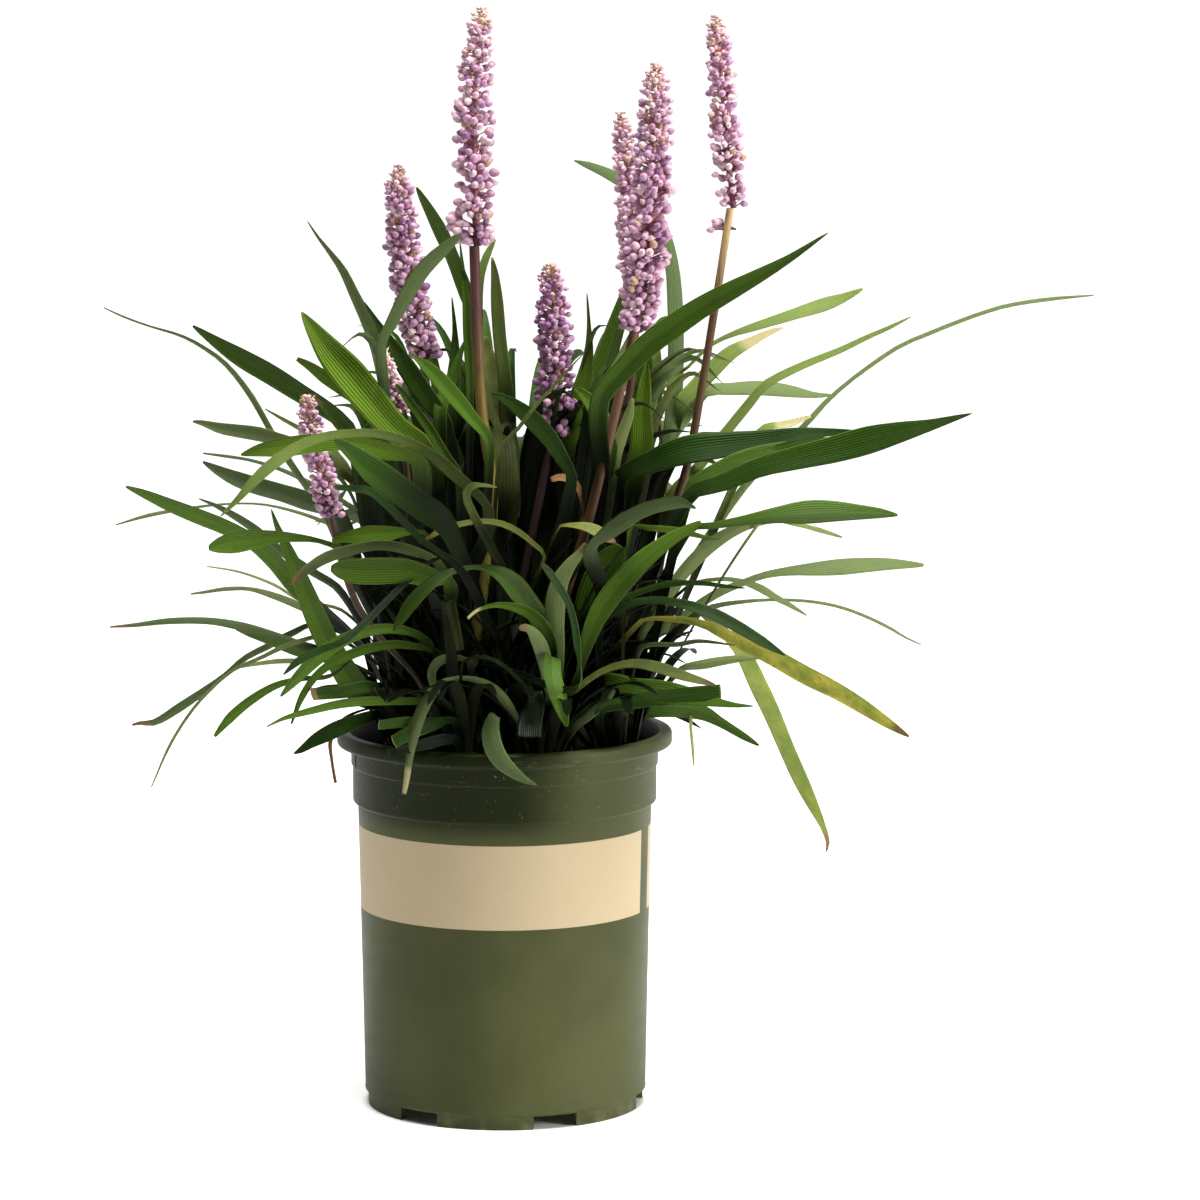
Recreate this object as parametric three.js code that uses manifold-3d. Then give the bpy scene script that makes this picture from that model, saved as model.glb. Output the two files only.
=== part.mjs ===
// Liriope (lilyturf) in flower, growing in a round moulded nursery pot.
// Millimetres, +Z up, the front of the plant towards -Y. The origin is the middle of the
// pot's underside, on the ground.
import * as THREE from 'three';
import { mergeVertices } from 'three/addons/utils/BufferGeometryUtils.js';
import Module from 'manifold-3d';

const wasm = await Module();
wasm.setup();

// --- Driving dimensions -------------------------------------------------------------

const FIT_GAP = 0.3; // between pieces that rest in or on each other
const FINEST = 0.002; // no smaller facet or gap is kept in a mesh

const POT_HEIGHT = 190;
const LIP_RADIUS = 84;
const LIP_DEPTH = 7.5;
const NECK_RADIUS = 77;
const COLLAR_TOP = 172.6;
const COLLAR_RADIUS = 76.2;
const COLLAR_BOTTOM = 154;
const BODY_TOP_RADIUS = 73.8;
const BODY_FOOT_RADIUS = 70.8;
const POT_WALL = 2;
const FOOT_HEIGHT = 7;
const FOOT_RADIUS = 69.3;
const FOOT_WALL = 3.2;
const FLOOR_THICKNESS = 3;
const PAD_RADIUS = 18; // flat pad in the middle of the underside
const POT_SIDES = 36;
const FOOT_NOTCHES = 6;
const NOTCH_WIDTH = 23;
const FIRST_NOTCH_DEG = -128; // measured round the pot from +X

const SOIL_EDGE_HEIGHT = 170;
const SOIL_MOUND = 5;
const SOIL_SIDES = 20;
const SOIL_RINGS = [18, 40, 62];

const CROWN_RADIUS = 10.5;
const CROWN_BOTTOM = 152;
const CROWN_TOP = 184;
const CROWN_SIDES = 6;
const INNER_CROWNS = 5;
const INNER_CIRCLE = 27;
const INNER_FIRST_DEG = -90;
const OUTER_CROWNS = 9;
const OUTER_CIRCLE = 53;
const OUTER_FIRST_DEG = -110;

// The places on a crown where a leaf's foot is sunk: a ring of outer ones, then a few in
// the heart, for the leaves that stand most upright.
const OUTER_SEATS = 8;
const OUTER_SEAT_CIRCLE = 7.1;
const INNER_SEATS = 3;
const INNER_SEAT_CIRCLE = 2.8;
const SEAT_DEPTH = 4;
const LEAVES_PER_CROWN = 11;

const BLADE_SECTIONS = [0, 0.13, 0.28, 0.44, 0.6, 0.76, 0.91];
const BLADE_RISE = 24; // a blade leaves its crown upright over this height
const FOOT_WIDTH = 0.36; // of a blade's full width, which it has by `FULL_WIDTH_AT`
const FULL_WIDTH_AT = 0.48;
const TURNED_AT = 0.4; // by here a blade has turned to its own facing
const KEEL_DEPTH = 1.3; // a blade's thickness at its midrib, near the crown
const TIP_KEEL_DEPTH = 0.8;
const CLEARANCE = 0.35; // kept free round each blade, to blades of other tufts
const UPRIGHT_REACH = 60; // leaves that lean less than this, and stand higher than
const UPRIGHT_HEIGHT = 300; // this, grow from the heart of a crown
const SEATS_TRIED = 7;
const DEPTH_SHIFTS = [0, -6, 6, -12, 12, -18, 18, -26, 26, -36, 36, -48, 48];

// The leaves that fill the heart and the back of the clump follow a rule: each leans away
// from the middle of the pot, arches, and droops towards its tip. As seen from the front
// they stay within these limits.
const FILL_SEED = 20;
const FILL_TRIES = 50;
const FILL_LEFT = -104;
const FILL_RIGHT = 118;
const FILL_HIGHEST = 400;
const FILL_REACH = [45, 190];
const FILL_RISE = [215, 95]; // of the shortest and of the longest reach

const STEM_SIDES = 6;
const STEM_STEPS = 7;
const STEM_BOTTOM = 150;
const STEM_STRAIGHT = 180; // plumb up to this height, above the soil
const STEM_FLARE = 1.15; // a stem's radius at its foot, as a share of its own
const HEAD_STEPS = 5;
const HEAD_SIDES = 8;
const BUD_ROW = 4.8; // height of a row of buds along the spike
const BUDS_ROUND = 5; // buds in a row
const BUD_STAND = 0.46; // how deep the gaps between buds are, as a share of their reach
const LOOSE_BUDS = 5;
const GOLDEN_ANGLE = Math.PI * (3 - Math.sqrt(5));

// The routes of leaves and stems are drawn as seen from the front, [across, up], on a board
// that stands square to the gaze of an eye at this point, and reaches `BOARD_FOOT` below
// the middle of its view. Depth is then added along the lines of sight.
const EYE = new THREE.Vector3(48, -2626, 608);
const GAZE_AT = new THREE.Vector3(48, 0, 255);
const BOARD_FOOT = 252;
const BOARD_SCALE = 0.986;

const UP = new THREE.Vector3(0, 0, 1);

// --- Materials ----------------------------------------------------------------------

const surface = (color, roughness) =>
  new THREE.MeshStandardMaterial({ color, roughness, metalness: 0 });
const POT_GREEN = surface(0x4b5532, 0.45);
const SOIL_BROWN = surface(0x33241a, 0.95);
const LEAF_GREEN = surface(0x2f5a28, 0.5);
const STEM_BROWN = surface(0x5a4436, 0.6);
const BUD_LILAC = surface(0xaa82af, 0.55);

// --- Solids and meshes --------------------------------------------------------------

// A closed three.js geometry as a solid that can be joined and cut.
function solidOf(geometry, weld = 1e-4) {
  const bare = geometry.clone();
  bare.deleteAttribute('normal');
  bare.deleteAttribute('uv');
  const merged = mergeVertices(bare, weld);
  return new wasm.Manifold(new wasm.Mesh({
    numProp: 3,
    vertProperties: merged.attributes.position.array,
    triVerts: new Uint32Array(merged.index.array),
  }));
}

// The largest closed skin of a solid, without loose scraps and with sealed hollows filled.
function filled(solid) {
  return solid.decompose().reduce((a, b) => (b.volume() > a.volume() ? b : a));
}

function geometryOf(solid) {
  const { vertProperties, triVerts } = solid.getMesh();
  const geometry = new THREE.BufferGeometry();
  geometry.setAttribute('position', new THREE.BufferAttribute(vertProperties, 3));
  geometry.setIndex(new THREE.BufferAttribute(triVerts, 1));
  return geometry;
}

// Slivers thinner than `FINEST`, left by joining, are taken out.
function meshOf(name, solid, material) {
  const body = filled(filled(solid).simplify(FINEST));
  const geometry = geometryOf(body);
  geometry.computeVertexNormals();
  const mesh = new THREE.Mesh(geometry, material);
  mesh.name = name;
  return mesh;
}

// A profile of [radius, height] points, bottom to top and back to the axis, turned
// about +Z.
function turned(profile, sides) {
  const points = profile.map(([radius, height]) => new THREE.Vector2(radius, height));
  return new THREE.LatheGeometry(points, sides).rotateX(Math.PI / 2);
}

// Two triangles over the corners a, b, c, d, parted so that the fold between them bulges
// outwards, which keeps the two sides of a thin twisted blade from crossing.
function bulgingQuad(points, a, b, c, d) {
  const from = (corner) => points[corner].clone().sub(points[a]);
  const dBelowAbc = from(b).cross(from(c)).dot(from(d)) <= 0;
  return dBelowAbc ? [a, b, c, a, c, d] : [a, b, d, b, c, d];
}

// A closed skin over rings of points with the same count, the last ring closed by a fan
// to `tip`, or flat if there is none. Each ring runs anticlockwise seen from its far end.
function skin(rings, tip) {
  const sides = rings[0].length;
  const points = rings.flat();
  const faces = [];
  for (let ring = 0; ring + 1 < rings.length; ring += 1) {
    for (let side = 0; side < sides; side += 1) {
      const a = ring * sides + side;
      const b = ring * sides + ((side + 1) % sides);
      faces.push(...bulgingQuad(points, a, b, b + sides, a + sides));
    }
  }
  for (let side = 1; side + 1 < sides; side += 1) {
    faces.push(0, side + 1, side);
  }
  const last = (rings.length - 1) * sides;
  if (tip) {
    points.push(tip);
    for (let side = 0; side < sides; side += 1) {
      faces.push(last + side, last + ((side + 1) % sides), points.length - 1);
    }
  } else {
    for (let side = 1; side + 1 < sides; side += 1) {
      faces.push(last, last + side, last + side + 1);
    }
  }
  const geometry = new THREE.BufferGeometry().setFromPoints(points);
  geometry.setIndex(faces);
  return geometry;
}

// A ring of points round `centre`, across `along`.
function ringAcross(centre, along, radius, sides) {
  const side = new THREE.Vector3(1, 0, 0).addScaledVector(along, -along.x).normalize();
  const other = new THREE.Vector3().crossVectors(along, side);
  return Array.from({ length: sides }, (_, i) => {
    const angle = (2 * Math.PI * i) / sides;
    return centre.clone()
      .addScaledVector(side, radius * Math.cos(angle))
      .addScaledVector(other, radius * Math.sin(angle));
  });
}

function upright(x, y, sides, levels) {
  const rings = levels.map(([height, radius]) =>
    ringAcross(new THREE.Vector3(x, y, height), UP, radius, sides));
  return solidOf(skin(rings));
}

// A repeatable stream of numbers from 0 to 1.
function seededRandom(seed) {
  let state = seed;
  return () => {
    state = (state + 0x6d2b79f5) | 0;
    let mixed = Math.imul(state ^ (state >>> 15), 1 | state);
    mixed = (mixed + Math.imul(mixed ^ (mixed >>> 7), 61 | mixed)) ^ mixed;
    return ((mixed ^ (mixed >>> 14)) >>> 0) / 4294967296;
  };
}

const gaze = GAZE_AT.clone().sub(EYE).normalize();
const boardUp = UP.clone().addScaledVector(gaze, -UP.dot(gaze)).normalize();

function onElevation([across, up], depth) {
  const sight = new THREE.Vector3(across, 0, GAZE_AT.z)
    .addScaledVector(boardUp, up * BOARD_SCALE - BOARD_FOOT)
    .sub(EYE);
  return sight.multiplyScalar((depth - EYE.y) / sight.y).add(EYE);
}

// --- Pot ----------------------------------------------------------------------------

function makePot() {
  const innerFootRadius = BODY_FOOT_RADIUS - POT_WALL;
  const floorTop = FOOT_HEIGHT + FLOOR_THICKNESS;
  const profile = [
    [0, 0],
    [PAD_RADIUS, 0],
    [PAD_RADIUS + 2, FOOT_HEIGHT],
    [FOOT_RADIUS - FOOT_WALL, FOOT_HEIGHT],
    [FOOT_RADIUS - FOOT_WALL, 0],
    [FOOT_RADIUS, 0],
    [FOOT_RADIUS, FOOT_HEIGHT],
    [BODY_FOOT_RADIUS, FOOT_HEIGHT + 0.8],
    [BODY_TOP_RADIUS, COLLAR_BOTTOM],
    [COLLAR_RADIUS, COLLAR_BOTTOM + 0.6],
    [COLLAR_RADIUS, COLLAR_TOP],
    [NECK_RADIUS, COLLAR_TOP + 0.6],
    [NECK_RADIUS, POT_HEIGHT - LIP_DEPTH - 0.5],
    [LIP_RADIUS, POT_HEIGHT - LIP_DEPTH + 2],
    [LIP_RADIUS, POT_HEIGHT - 2],
    [LIP_RADIUS - 2, POT_HEIGHT],
    [LIP_RADIUS - 5, POT_HEIGHT],
    [COLLAR_RADIUS - POT_WALL, POT_HEIGHT - LIP_DEPTH - 1],
    [BODY_TOP_RADIUS - POT_WALL, COLLAR_BOTTOM],
    [innerFootRadius, floorTop],
    [0, floorTop],
  ];
  let pot = solidOf(turned(profile, POT_SIDES));
  const notchReach = FOOT_WALL + 4;
  for (let i = 0; i < FOOT_NOTCHES; i += 1) {
    const notch = new THREE.BoxGeometry(notchReach, NOTCH_WIDTH, 2 * FOOT_HEIGHT - 1);
    notch.translate(FOOT_RADIUS - FOOT_WALL / 2, 0, 0);
    notch.rotateZ(THREE.MathUtils.degToRad(FIRST_NOTCH_DEG + (360 * i) / FOOT_NOTCHES));
    pot = pot.subtract(solidOf(notch));
  }
  return pot;
}

// --- Crowns: the short stocks that the leaves grow from -------------------------------

function crownCircle(count, circle, firstDeg) {
  return Array.from({ length: count }, (_, i) => {
    const angle = THREE.MathUtils.degToRad(firstDeg + (360 * i) / count);
    return { x: circle * Math.cos(angle), y: circle * Math.sin(angle) };
  });
}

// Number 0 is the middle one, 1 to 5 stand round it from the front, and 6 to 14 round
// those, from the front left.
const crowns = [
  { x: 0, y: 0 },
  ...crownCircle(INNER_CROWNS, INNER_CIRCLE, INNER_FIRST_DEG),
  ...crownCircle(OUTER_CROWNS, OUTER_CIRCLE, OUTER_FIRST_DEG),
];

function crownSolid({ x, y }, extra = 0) {
  return upright(x, y, CROWN_SIDES, [
    [CROWN_BOTTOM - extra, CROWN_RADIUS * 0.8 + extra],
    [CROWN_TOP + extra, CROWN_RADIUS + extra],
  ]);
}

function seatsOf(crown) {
  const circle = (count, radius, heart) =>
    Array.from({ length: count }, (_, i) => {
      const angle = (2 * Math.PI * (i + (heart ? 0.5 : 0))) / count;
      const outward = new THREE.Vector3(Math.cos(angle), Math.sin(angle), 0);
      const foot = outward.clone().multiplyScalar(radius)
        .add(new THREE.Vector3(crown.x, crown.y, CROWN_TOP - SEAT_DEPTH));
      return { angle, outward, foot, heart };
    });
  return [
    ...circle(OUTER_SEATS, OUTER_SEAT_CIRCLE, false),
    ...circle(INNER_SEATS, INNER_SEAT_CIRCLE, true),
  ];
}

// --- Flower spikes --------------------------------------------------------------------

// Each stands in the soil at `base`, and its top is `depth` behind y = 0.
function spike(base, depth, stemRadius, headWidth, headLength, ...points) {
  const plumb = [STEM_BOTTOM, STEM_STRAIGHT, 2 * STEM_STRAIGHT - STEM_BOTTOM]
    .map((height) => new THREE.Vector3(base[0], base[1], height));
  const route = points.map((point, i) =>
    onElevation(point, THREE.MathUtils.lerp(base[1], depth, (i + 1) / points.length)));
  const curve = new THREE.CatmullRomCurve3([...plumb, ...route], false, 'centripetal');
  const headStart = 1 - headLength / curve.getLength();
  return { base, stemRadius, headWidth, headLength, curve, headStart };
}

const spikes = [
  spike([-17, -24], -8, 2.7, 24, 118, [-6, 311], [-11, 347], [-15, 439], [-12, 557]),
  spike([-36, 13], -15, 2.1, 22, 99, [-37, 342], [-41, 380], [-48, 420], [-54, 477]),
  spike([0, 29], 12, 2.2, 24, 89, [22, 330], [26, 357], [26, 392], [22, 427]),
  spike([17, -24], -30, 2.5, 25, 133, [42, 296], [57, 357], [72, 433], [76, 529]),
  spike([36, 10], 16, 2.2, 20, 110, [53, 321], [61, 350], [66, 420], [58, 504]),
  spike([48, -9], -10, 2.1, 20, 96, [88, 311], [103, 392], [113, 458], [105, 553]),
  spike([-41, -8], -28, 1.6, 12.5, 34, [-50, 335], [-52, 351], [-57, 367], [-62, 382]),
  spike([-35, -43], -52, 1.9, 18, 62, [-72, 250], [-85, 290], [-92, 325], [-100, 360]),
];

function tubeAlong(curve, from, to, steps, sides, radiusAt) {
  const rings = Array.from({ length: steps + 1 }, (_, i) => {
    const share = i / steps;
    const at = THREE.MathUtils.lerp(from, to, share);
    return ringAcross(curve.getPointAt(at), curve.getTangentAt(at), radiusAt(share), sides);
  });
  return solidOf(skin(rings));
}

function stemSolid({ curve, headStart, stemRadius }, extra = 0) {
  const taper = (share) => stemRadius * (STEM_FLARE - 0.25 * share) + extra;
  return tubeAlong(curve, 0, headStart, STEM_STEPS, STEM_SIDES, taper);
}

// How far the buds reach from the spike's axis: full for most of its length, a little
// less at the foot, and slender at the top.
function headReach(headWidth, share) {
  const swell = 0.84 + 0.16 * Math.min(1, share * 5);
  return (headWidth / 2) * swell * (1 - 0.52 * share ** 5);
}

function headEnvelope({ curve, headStart, headWidth }) {
  const reach = (share) => headReach(headWidth, share) * 1.14 + CLEARANCE;
  return tubeAlong(curve, headStart, 1, HEAD_STEPS, HEAD_SIDES, reach);
}

// The buds cover the head in staggered rows: along and round it, every other point of the
// skin stands out as a bud, and the points between them lie deep. A few loose buds hang
// out on stalks near the bottom.
function headSolid({ curve, headStart, headWidth, headLength }) {
  const length = curve.getLength();
  const from = headStart + FIT_GAP / length;
  const rows = Math.round(headLength / BUD_ROW);
  const sides = 2 * BUDS_ROUND;
  const points = [];
  for (let row = 0; row <= rows; row += 1) {
    const at = THREE.MathUtils.lerp(from, 1 - 2.5 / length, row / rows);
    const round = ringAcross(new THREE.Vector3(), curve.getTangentAt(at), 1, sides);
    const centre = curve.getPointAt(at);
    round.forEach((outward, side) => {
      const stands = (row + side) % 2 === 0 && row > 0;
      const reach = headReach(headWidth, row / rows) * (stands ? 1 : 1 - BUD_STAND);
      points.push(centre.clone().addScaledVector(outward, reach));
    });
  }
  const faces = [];
  for (let row = 0; row < rows; row += 1) {
    for (let side = 0; side < sides; side += 1) {
      const a = row * sides + side;
      const b = row * sides + ((side + 1) % sides);
      if ((row + side) % 2 === 0) {
        faces.push(a, b, a + sides, b, b + sides, a + sides);
      } else {
        faces.push(a, b, b + sides, a, b + sides, a + sides);
      }
    }
  }
  const last = rows * sides;
  points.push(curve.getPointAt(from), curve.getPointAt(1));
  for (let side = 0; side < sides; side += 1) {
    const next = (side + 1) % sides;
    faces.push(points.length - 2, next, side, last + side, last + next, points.length - 1);
  }
  const geometry = new THREE.BufferGeometry().setFromPoints(points);
  geometry.setIndex(faces);
  let head = solidOf(geometry);
  for (let i = 0; i < LOOSE_BUDS; i += 1) {
    const share = 0.04 + (0.5 * i) / LOOSE_BUDS;
    const at = THREE.MathUtils.lerp(from, 1, share);
    const axis = curve.getTangentAt(at);
    const centre = curve.getPointAt(at);
    const [outward] = ringAcross(new THREE.Vector3(), axis, 1, 1);
    outward.applyAxisAngle(axis, i * GOLDEN_ANGLE);
    const reach = headReach(headWidth, share) * 1.12;
    const out = (distance) => centre.clone().addScaledVector(outward, distance);
    const radius = reach * 0.22;
    const foot = ringAcross(out(1), outward, radius * 0.3, 3);
    const waist = ringAcross(out(reach - radius), outward, radius, 3);
    head = head.add(solidOf(skin([foot, waist], out(reach))));
  }
  return head;
}

// --- Leaves ---------------------------------------------------------------------------

// How a blade narrows over the last part of its length.
const POINTED = (share) => 1 - Math.max(0, (share - 0.55) / 0.45) ** 2;
const BLUNT = (share) => 1 - Math.max(0, (share - 0.7) / 0.3) ** 4;
const CUT = (share) => 1 - 0.1 * share;

const leafOf = (ending) => (crown, width, turn, depth, ...points) =>
  ({ crown, width, turn, depth, points, ending });
const leaf = leafOf(POINTED);
const bluntLeaf = leafOf(BLUNT);
const cutLeaf = leafOf(CUT);

// Crown, width, turn of the blade from lying flat towards facing the front, in degrees,
// depth of its tip, then its route on the front elevation.
const drawnLeaves = [
  // Tall ones in the middle, from left to right.
  leaf(12, 10, 35, 40, [-65, 383], [-84, 428], [-99, 448]),
  leaf(5, 10, 60, -45, [-61, 384], [-51, 409], [-23, 442]),
  leaf(5, 12, 70, -10, [-23, 358], [-42, 379], [-70, 407]),
  leaf(4, 10, 45, 20, [-19, 410], [-28, 428], [-44, 465]),
  leaf(4, 9, 40, 30, [-12, 400], [-10, 420], [-4, 440]),
  leaf(0, 10, 45, 20, [1, 385], [-2, 412], [-6, 430]),
  leaf(4, 7, 30, 10, [-17, 362], [-21, 382], [-26, 410]),
  leaf(0, 15, 85, 25, [-3, 302], [-7, 347], [-10, 391]),
  leaf(1, 11, 50, -60, [30, 321], [20, 344], [-7, 360]),
  leaf(2, 11, 60, -15, [51, 332], [49, 351], [35, 364]),
  leaf(3, 7, 30, 20, [43, 357], [43, 382], [41, 411]),
  leaf(3, 11, 55, 30, [44, 368], [53, 389], [64, 425]),
  leaf(3, 10, 60, 45, [87, 357], [88, 417], [60, 465], [34, 479]),

  // The left fan, from the highest tip down.
  leaf(13, 6, 25, 60, [-86, 289], [-116, 338], [-160, 389], [-201, 404]),
  leaf(5, 14, 80, -40, [-40, 333], [-70, 363], [-102, 402]),
  leaf(13, 13, 65, -10, [-77, 343], [-117, 371], [-156, 395]),
  leaf(12, 10, 60, 30, [-67, 352], [-90, 371], [-104, 379]),
  leaf(12, 7, 30, 50, [-77, 324], [-100, 341], [-120, 352]),
  leaf(13, 10, 40, 40, [-87, 327], [-116, 338], [-156, 346]),
  leaf(14, 13, 60, -70, [-51, 330], [-94, 339], [-132, 330]),
  leaf(13, 7, 30, 45, [-87, 311], [-117, 324], [-151, 330]),
  leaf(13, 12, 60, 20, [-99, 305], [-119, 311], [-151, 327]),
  leaf(14, 10, 45, -50, [-102, 276], [-135, 291], [-190, 313]),
  leaf(13, 8, 30, -10, [-92, 278], [-116, 289], [-153, 307]),
  leaf(14, 11, 60, -60, [-73, 215], [-97, 259], [-117, 302]),
  leaf(5, 11, 30, -60, [-34, 324], [-66, 339], [-100, 335], [-142, 298]),
  leaf(12, 6, 20, 70, [-94, 299], [-130, 305], [-195, 294]),
  bluntLeaf(14, 13, 65, -80, [-87, 283], [-123, 291], [-149, 282]),
  leaf(5, 12, 60, -60, [-40, 289], [-66, 293], [-87, 284]),
  leaf(13, 7, 25, 20, [-82, 250], [-109, 263], [-149, 273]),
  leaf(5, 9, 25, -80, [-40, 279], [-80, 281], [-108, 264]),
  leaf(13, 8, 30, 10, [-103, 251], [-137, 261], [-157, 259]),
  leaf(14, 8, 30, -40, [-109, 238], [-149, 245], [-198, 242]),
  leaf(14, 9, 35, -20, [-77, 223], [-100, 231], [-135, 241]),
  leaf(13, 8, 30, -20, [-94, 243], [-131, 225], [-158, 205], [-187, 192]),
  leaf(14, 8, 30, -60, [-70, 229], [-110, 215], [-132, 203], [-146, 186]),
  leaf(14, 6, 15, -60, [-100, 236], [-138, 218], [-164, 184], [-177, 160]),

  // The right fan, from the highest tip down.
  leaf(2, 14, 80, -55, [67, 381], [105, 412], [162, 442]),
  leaf(9, 9, 50, 20, [105, 377], [140, 399], [180, 413]),
  leaf(10, 6, 25, 90, [153, 346], [191, 379], [249, 404], [295, 411]),
  leaf(9, 8, 35, 10, [124, 357], [155, 379], [204, 400]),
  leaf(9, 9, 50, 40, [98, 370], [118, 386], [140, 394]),
  leaf(10, 10, 40, 60, [100, 361], [128, 365], [164, 359]),
  leaf(8, 14.5, 85, -70, [92, 309], [144, 324], [197, 339], [234, 350]),
  leaf(9, 13, 65, -20, [74, 327], [127, 337], [177, 341]),
  leaf(8, 13, 60, -50, [106, 293], [153, 300], [197, 299]),
  leaf(7, 11, 55, -90, [37, 218], [58, 259], [99, 296]),
  leaf(9, 11, 50, 20, [109, 255], [146, 269], [210, 273]),
  leaf(10, 8, 30, 30, [109, 266], [130, 262], [152, 247]),
  leaf(10, 6, 25, 50, [121, 255], [170, 251], [209, 233]),
  leaf(8, 12, 60, -105, [54, 216], [88, 207], [126, 202]),
  leaf(7, 10, 30, -100, [45, 219], [75, 222], [107, 213]),
  leaf(8, 10, 50, -110, [98, 240], [143, 221], [203, 186]),
  leaf(8, 10, 80, -100, [112, 231], [135, 200], [161, 127]),
  leaf(8, 9, 50, -60, [83, 205], [107, 198], [128, 182]),
  leaf(8, 9, 40, -30, [68, 205], [84, 199], [99, 190]),
  leaf(9, 5, 20, -20, [83, 205], [94, 194], [95, 171]),

  // Short ones low in front, some of them over the rim.
  bluntLeaf(6, 14, 75, -85, [-37, 269], [-66, 275], [-87, 271]),
  leaf(1, 10, 35, -95, [18, 247], [-2, 271], [-37, 264], [-55, 239]),
  leaf(1, 8, 30, -75, [13, 287], [-19, 295], [-43, 284]),
  leaf(1, 9, 40, -60, [28, 293], [43, 294], [57, 284]),
  leaf(0, 6, 40, -30, [39, 296], [37, 312], [23, 317]),
  leaf(7, 9, 30, -75, [18, 244], [3, 252], [-16, 250]),
  leaf(1, 9, 50, -85, [25, 215], [23, 229], [8, 241]),
  leaf(7, 11, 60, -70, [25, 225], [24, 259], [41, 284]),
  leaf(7, 10, 10, -100, [23, 228], [26, 210], [31, 192]),
  bluntLeaf(2, 15, 75, -35, [35, 254], [47, 271], [60, 282]),
  leaf(7, 9, 30, -75, [35, 194], [44, 202], [56, 210]),
  leaf(6, 10, 20, -100, [3, 195], [-7, 197], [-4, 180], [17, 162]),
  leaf(6, 9, 20, -97, [4, 205], [-14, 215], [-40, 207], [-50, 157]),
  leaf(6, 8, 30, -70, [-20, 225], [-33, 222], [-31, 206]),
  leaf(6, 11, 30, -100, [-56, 239], [-90, 229], [-113, 206]),
  leaf(6, 8, 20, -110, [-39, 229], [-75, 229], [-102, 206], [-107, 192]),
  leaf(6, 9, 30, -90, [-43, 203], [-87, 202], [-119, 191]),
  leaf(14, 11, 45, -70, [-67, 200], [-87, 194], [-106, 177]),
  cutLeaf(6, 10, 40, -90, [-52, 210], [-75, 210], [-96, 209]),
  cutLeaf(6, 9, 30, -88, [-27, 199], [-45, 196], [-58, 190]),
  leaf(14, 5, 20, -40, [-77, 197], [-87, 187], [-84, 162]),
];

// A drawn leaf's route from its foot, with its depth growing along the way.
function drawnRoute({ points, depth }, foot, shift) {
  const stops = [[foot.x, foot.z], ...points];
  const run = [0];
  for (let i = 1; i < stops.length; i += 1) {
    const [across, up] = stops[i];
    run.push(run[i - 1] + Math.hypot(across - stops[i - 1][0], up - stops[i - 1][1]));
  }
  const full = run[run.length - 1];
  return points.map((point, i) => {
    const share = run[i + 1] / full;
    return onElevation(point, THREE.MathUtils.lerp(foot.y, depth, share) + shift * share);
  });
}

// The sections of a blade: its edges on each side, and its keel underneath.
function bladeSolid(leafDrawn, seat, through, widen, extra = 0, from = 0) {
  const risen = seat.foot.clone().addScaledVector(seat.outward, 3)
    .add(new THREE.Vector3(0, 0, BLADE_RISE));
  const curve = new THREE.CatmullRomCurve3([seat.foot, risen, ...through], false,
    'centripetal');
  const away = through[through.length - 1].clone().sub(seat.foot).setZ(0).normalize();
  const level = new THREE.Vector3(-away.y, away.x, 0);
  const round = new THREE.Vector3(-seat.outward.y, seat.outward.x, 0);
  round.multiplyScalar(round.dot(level) < 0 ? -1 : 1);
  const turn = THREE.MathUtils.degToRad(leafDrawn.turn) * (level.y > 0 ? -1 : 1);
  const rings = BLADE_SECTIONS.filter((share) => share >= from).map((share) => {
    const along = curve.getTangentAt(share);
    const centre = curve.getPointAt(share);
    const side = round.clone()
      .lerp(level, THREE.MathUtils.smoothstep(share, 0.1, TURNED_AT));
    side.addScaledVector(along, -side.dot(along)).normalize();
    side.applyAxisAngle(along, turn * THREE.MathUtils.smoothstep(share, 0, TURNED_AT));
    const face = new THREE.Vector3().crossVectors(along, side);
    const swell = THREE.MathUtils.lerp(FOOT_WIDTH, 1,
      THREE.MathUtils.smoothstep(share, 0.02, FULL_WIDTH_AT));
    const half = (leafDrawn.width * widen * swell * leafDrawn.ending(share)) / 2 + extra;
    const keel = THREE.MathUtils.lerp(KEEL_DEPTH, TIP_KEEL_DEPTH, share) + extra;
    return [
      centre.clone().addScaledVector(side, half).addScaledVector(face, extra),
      centre.clone().addScaledVector(side, -half).addScaledVector(face, extra),
      centre.clone().addScaledVector(face, -keel),
    ];
  });
  const tip = curve.getPointAt(1).addScaledVector(curve.getTangentAt(1), extra);
  return solidOf(skin(rings, tip));
}

function boxOf(solid) {
  const { min, max } = solid.boundingBox();
  return new THREE.Box3(new THREE.Vector3(...min), new THREE.Vector3(...max));
}

const touches = (a, b) => a.box.intersectsBox(b.box)
  && !a.solid.intersect(b.solid).isEmpty();

const boxed = (solid, tuft = -1) => ({ solid, box: boxOf(solid), tuft });

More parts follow.
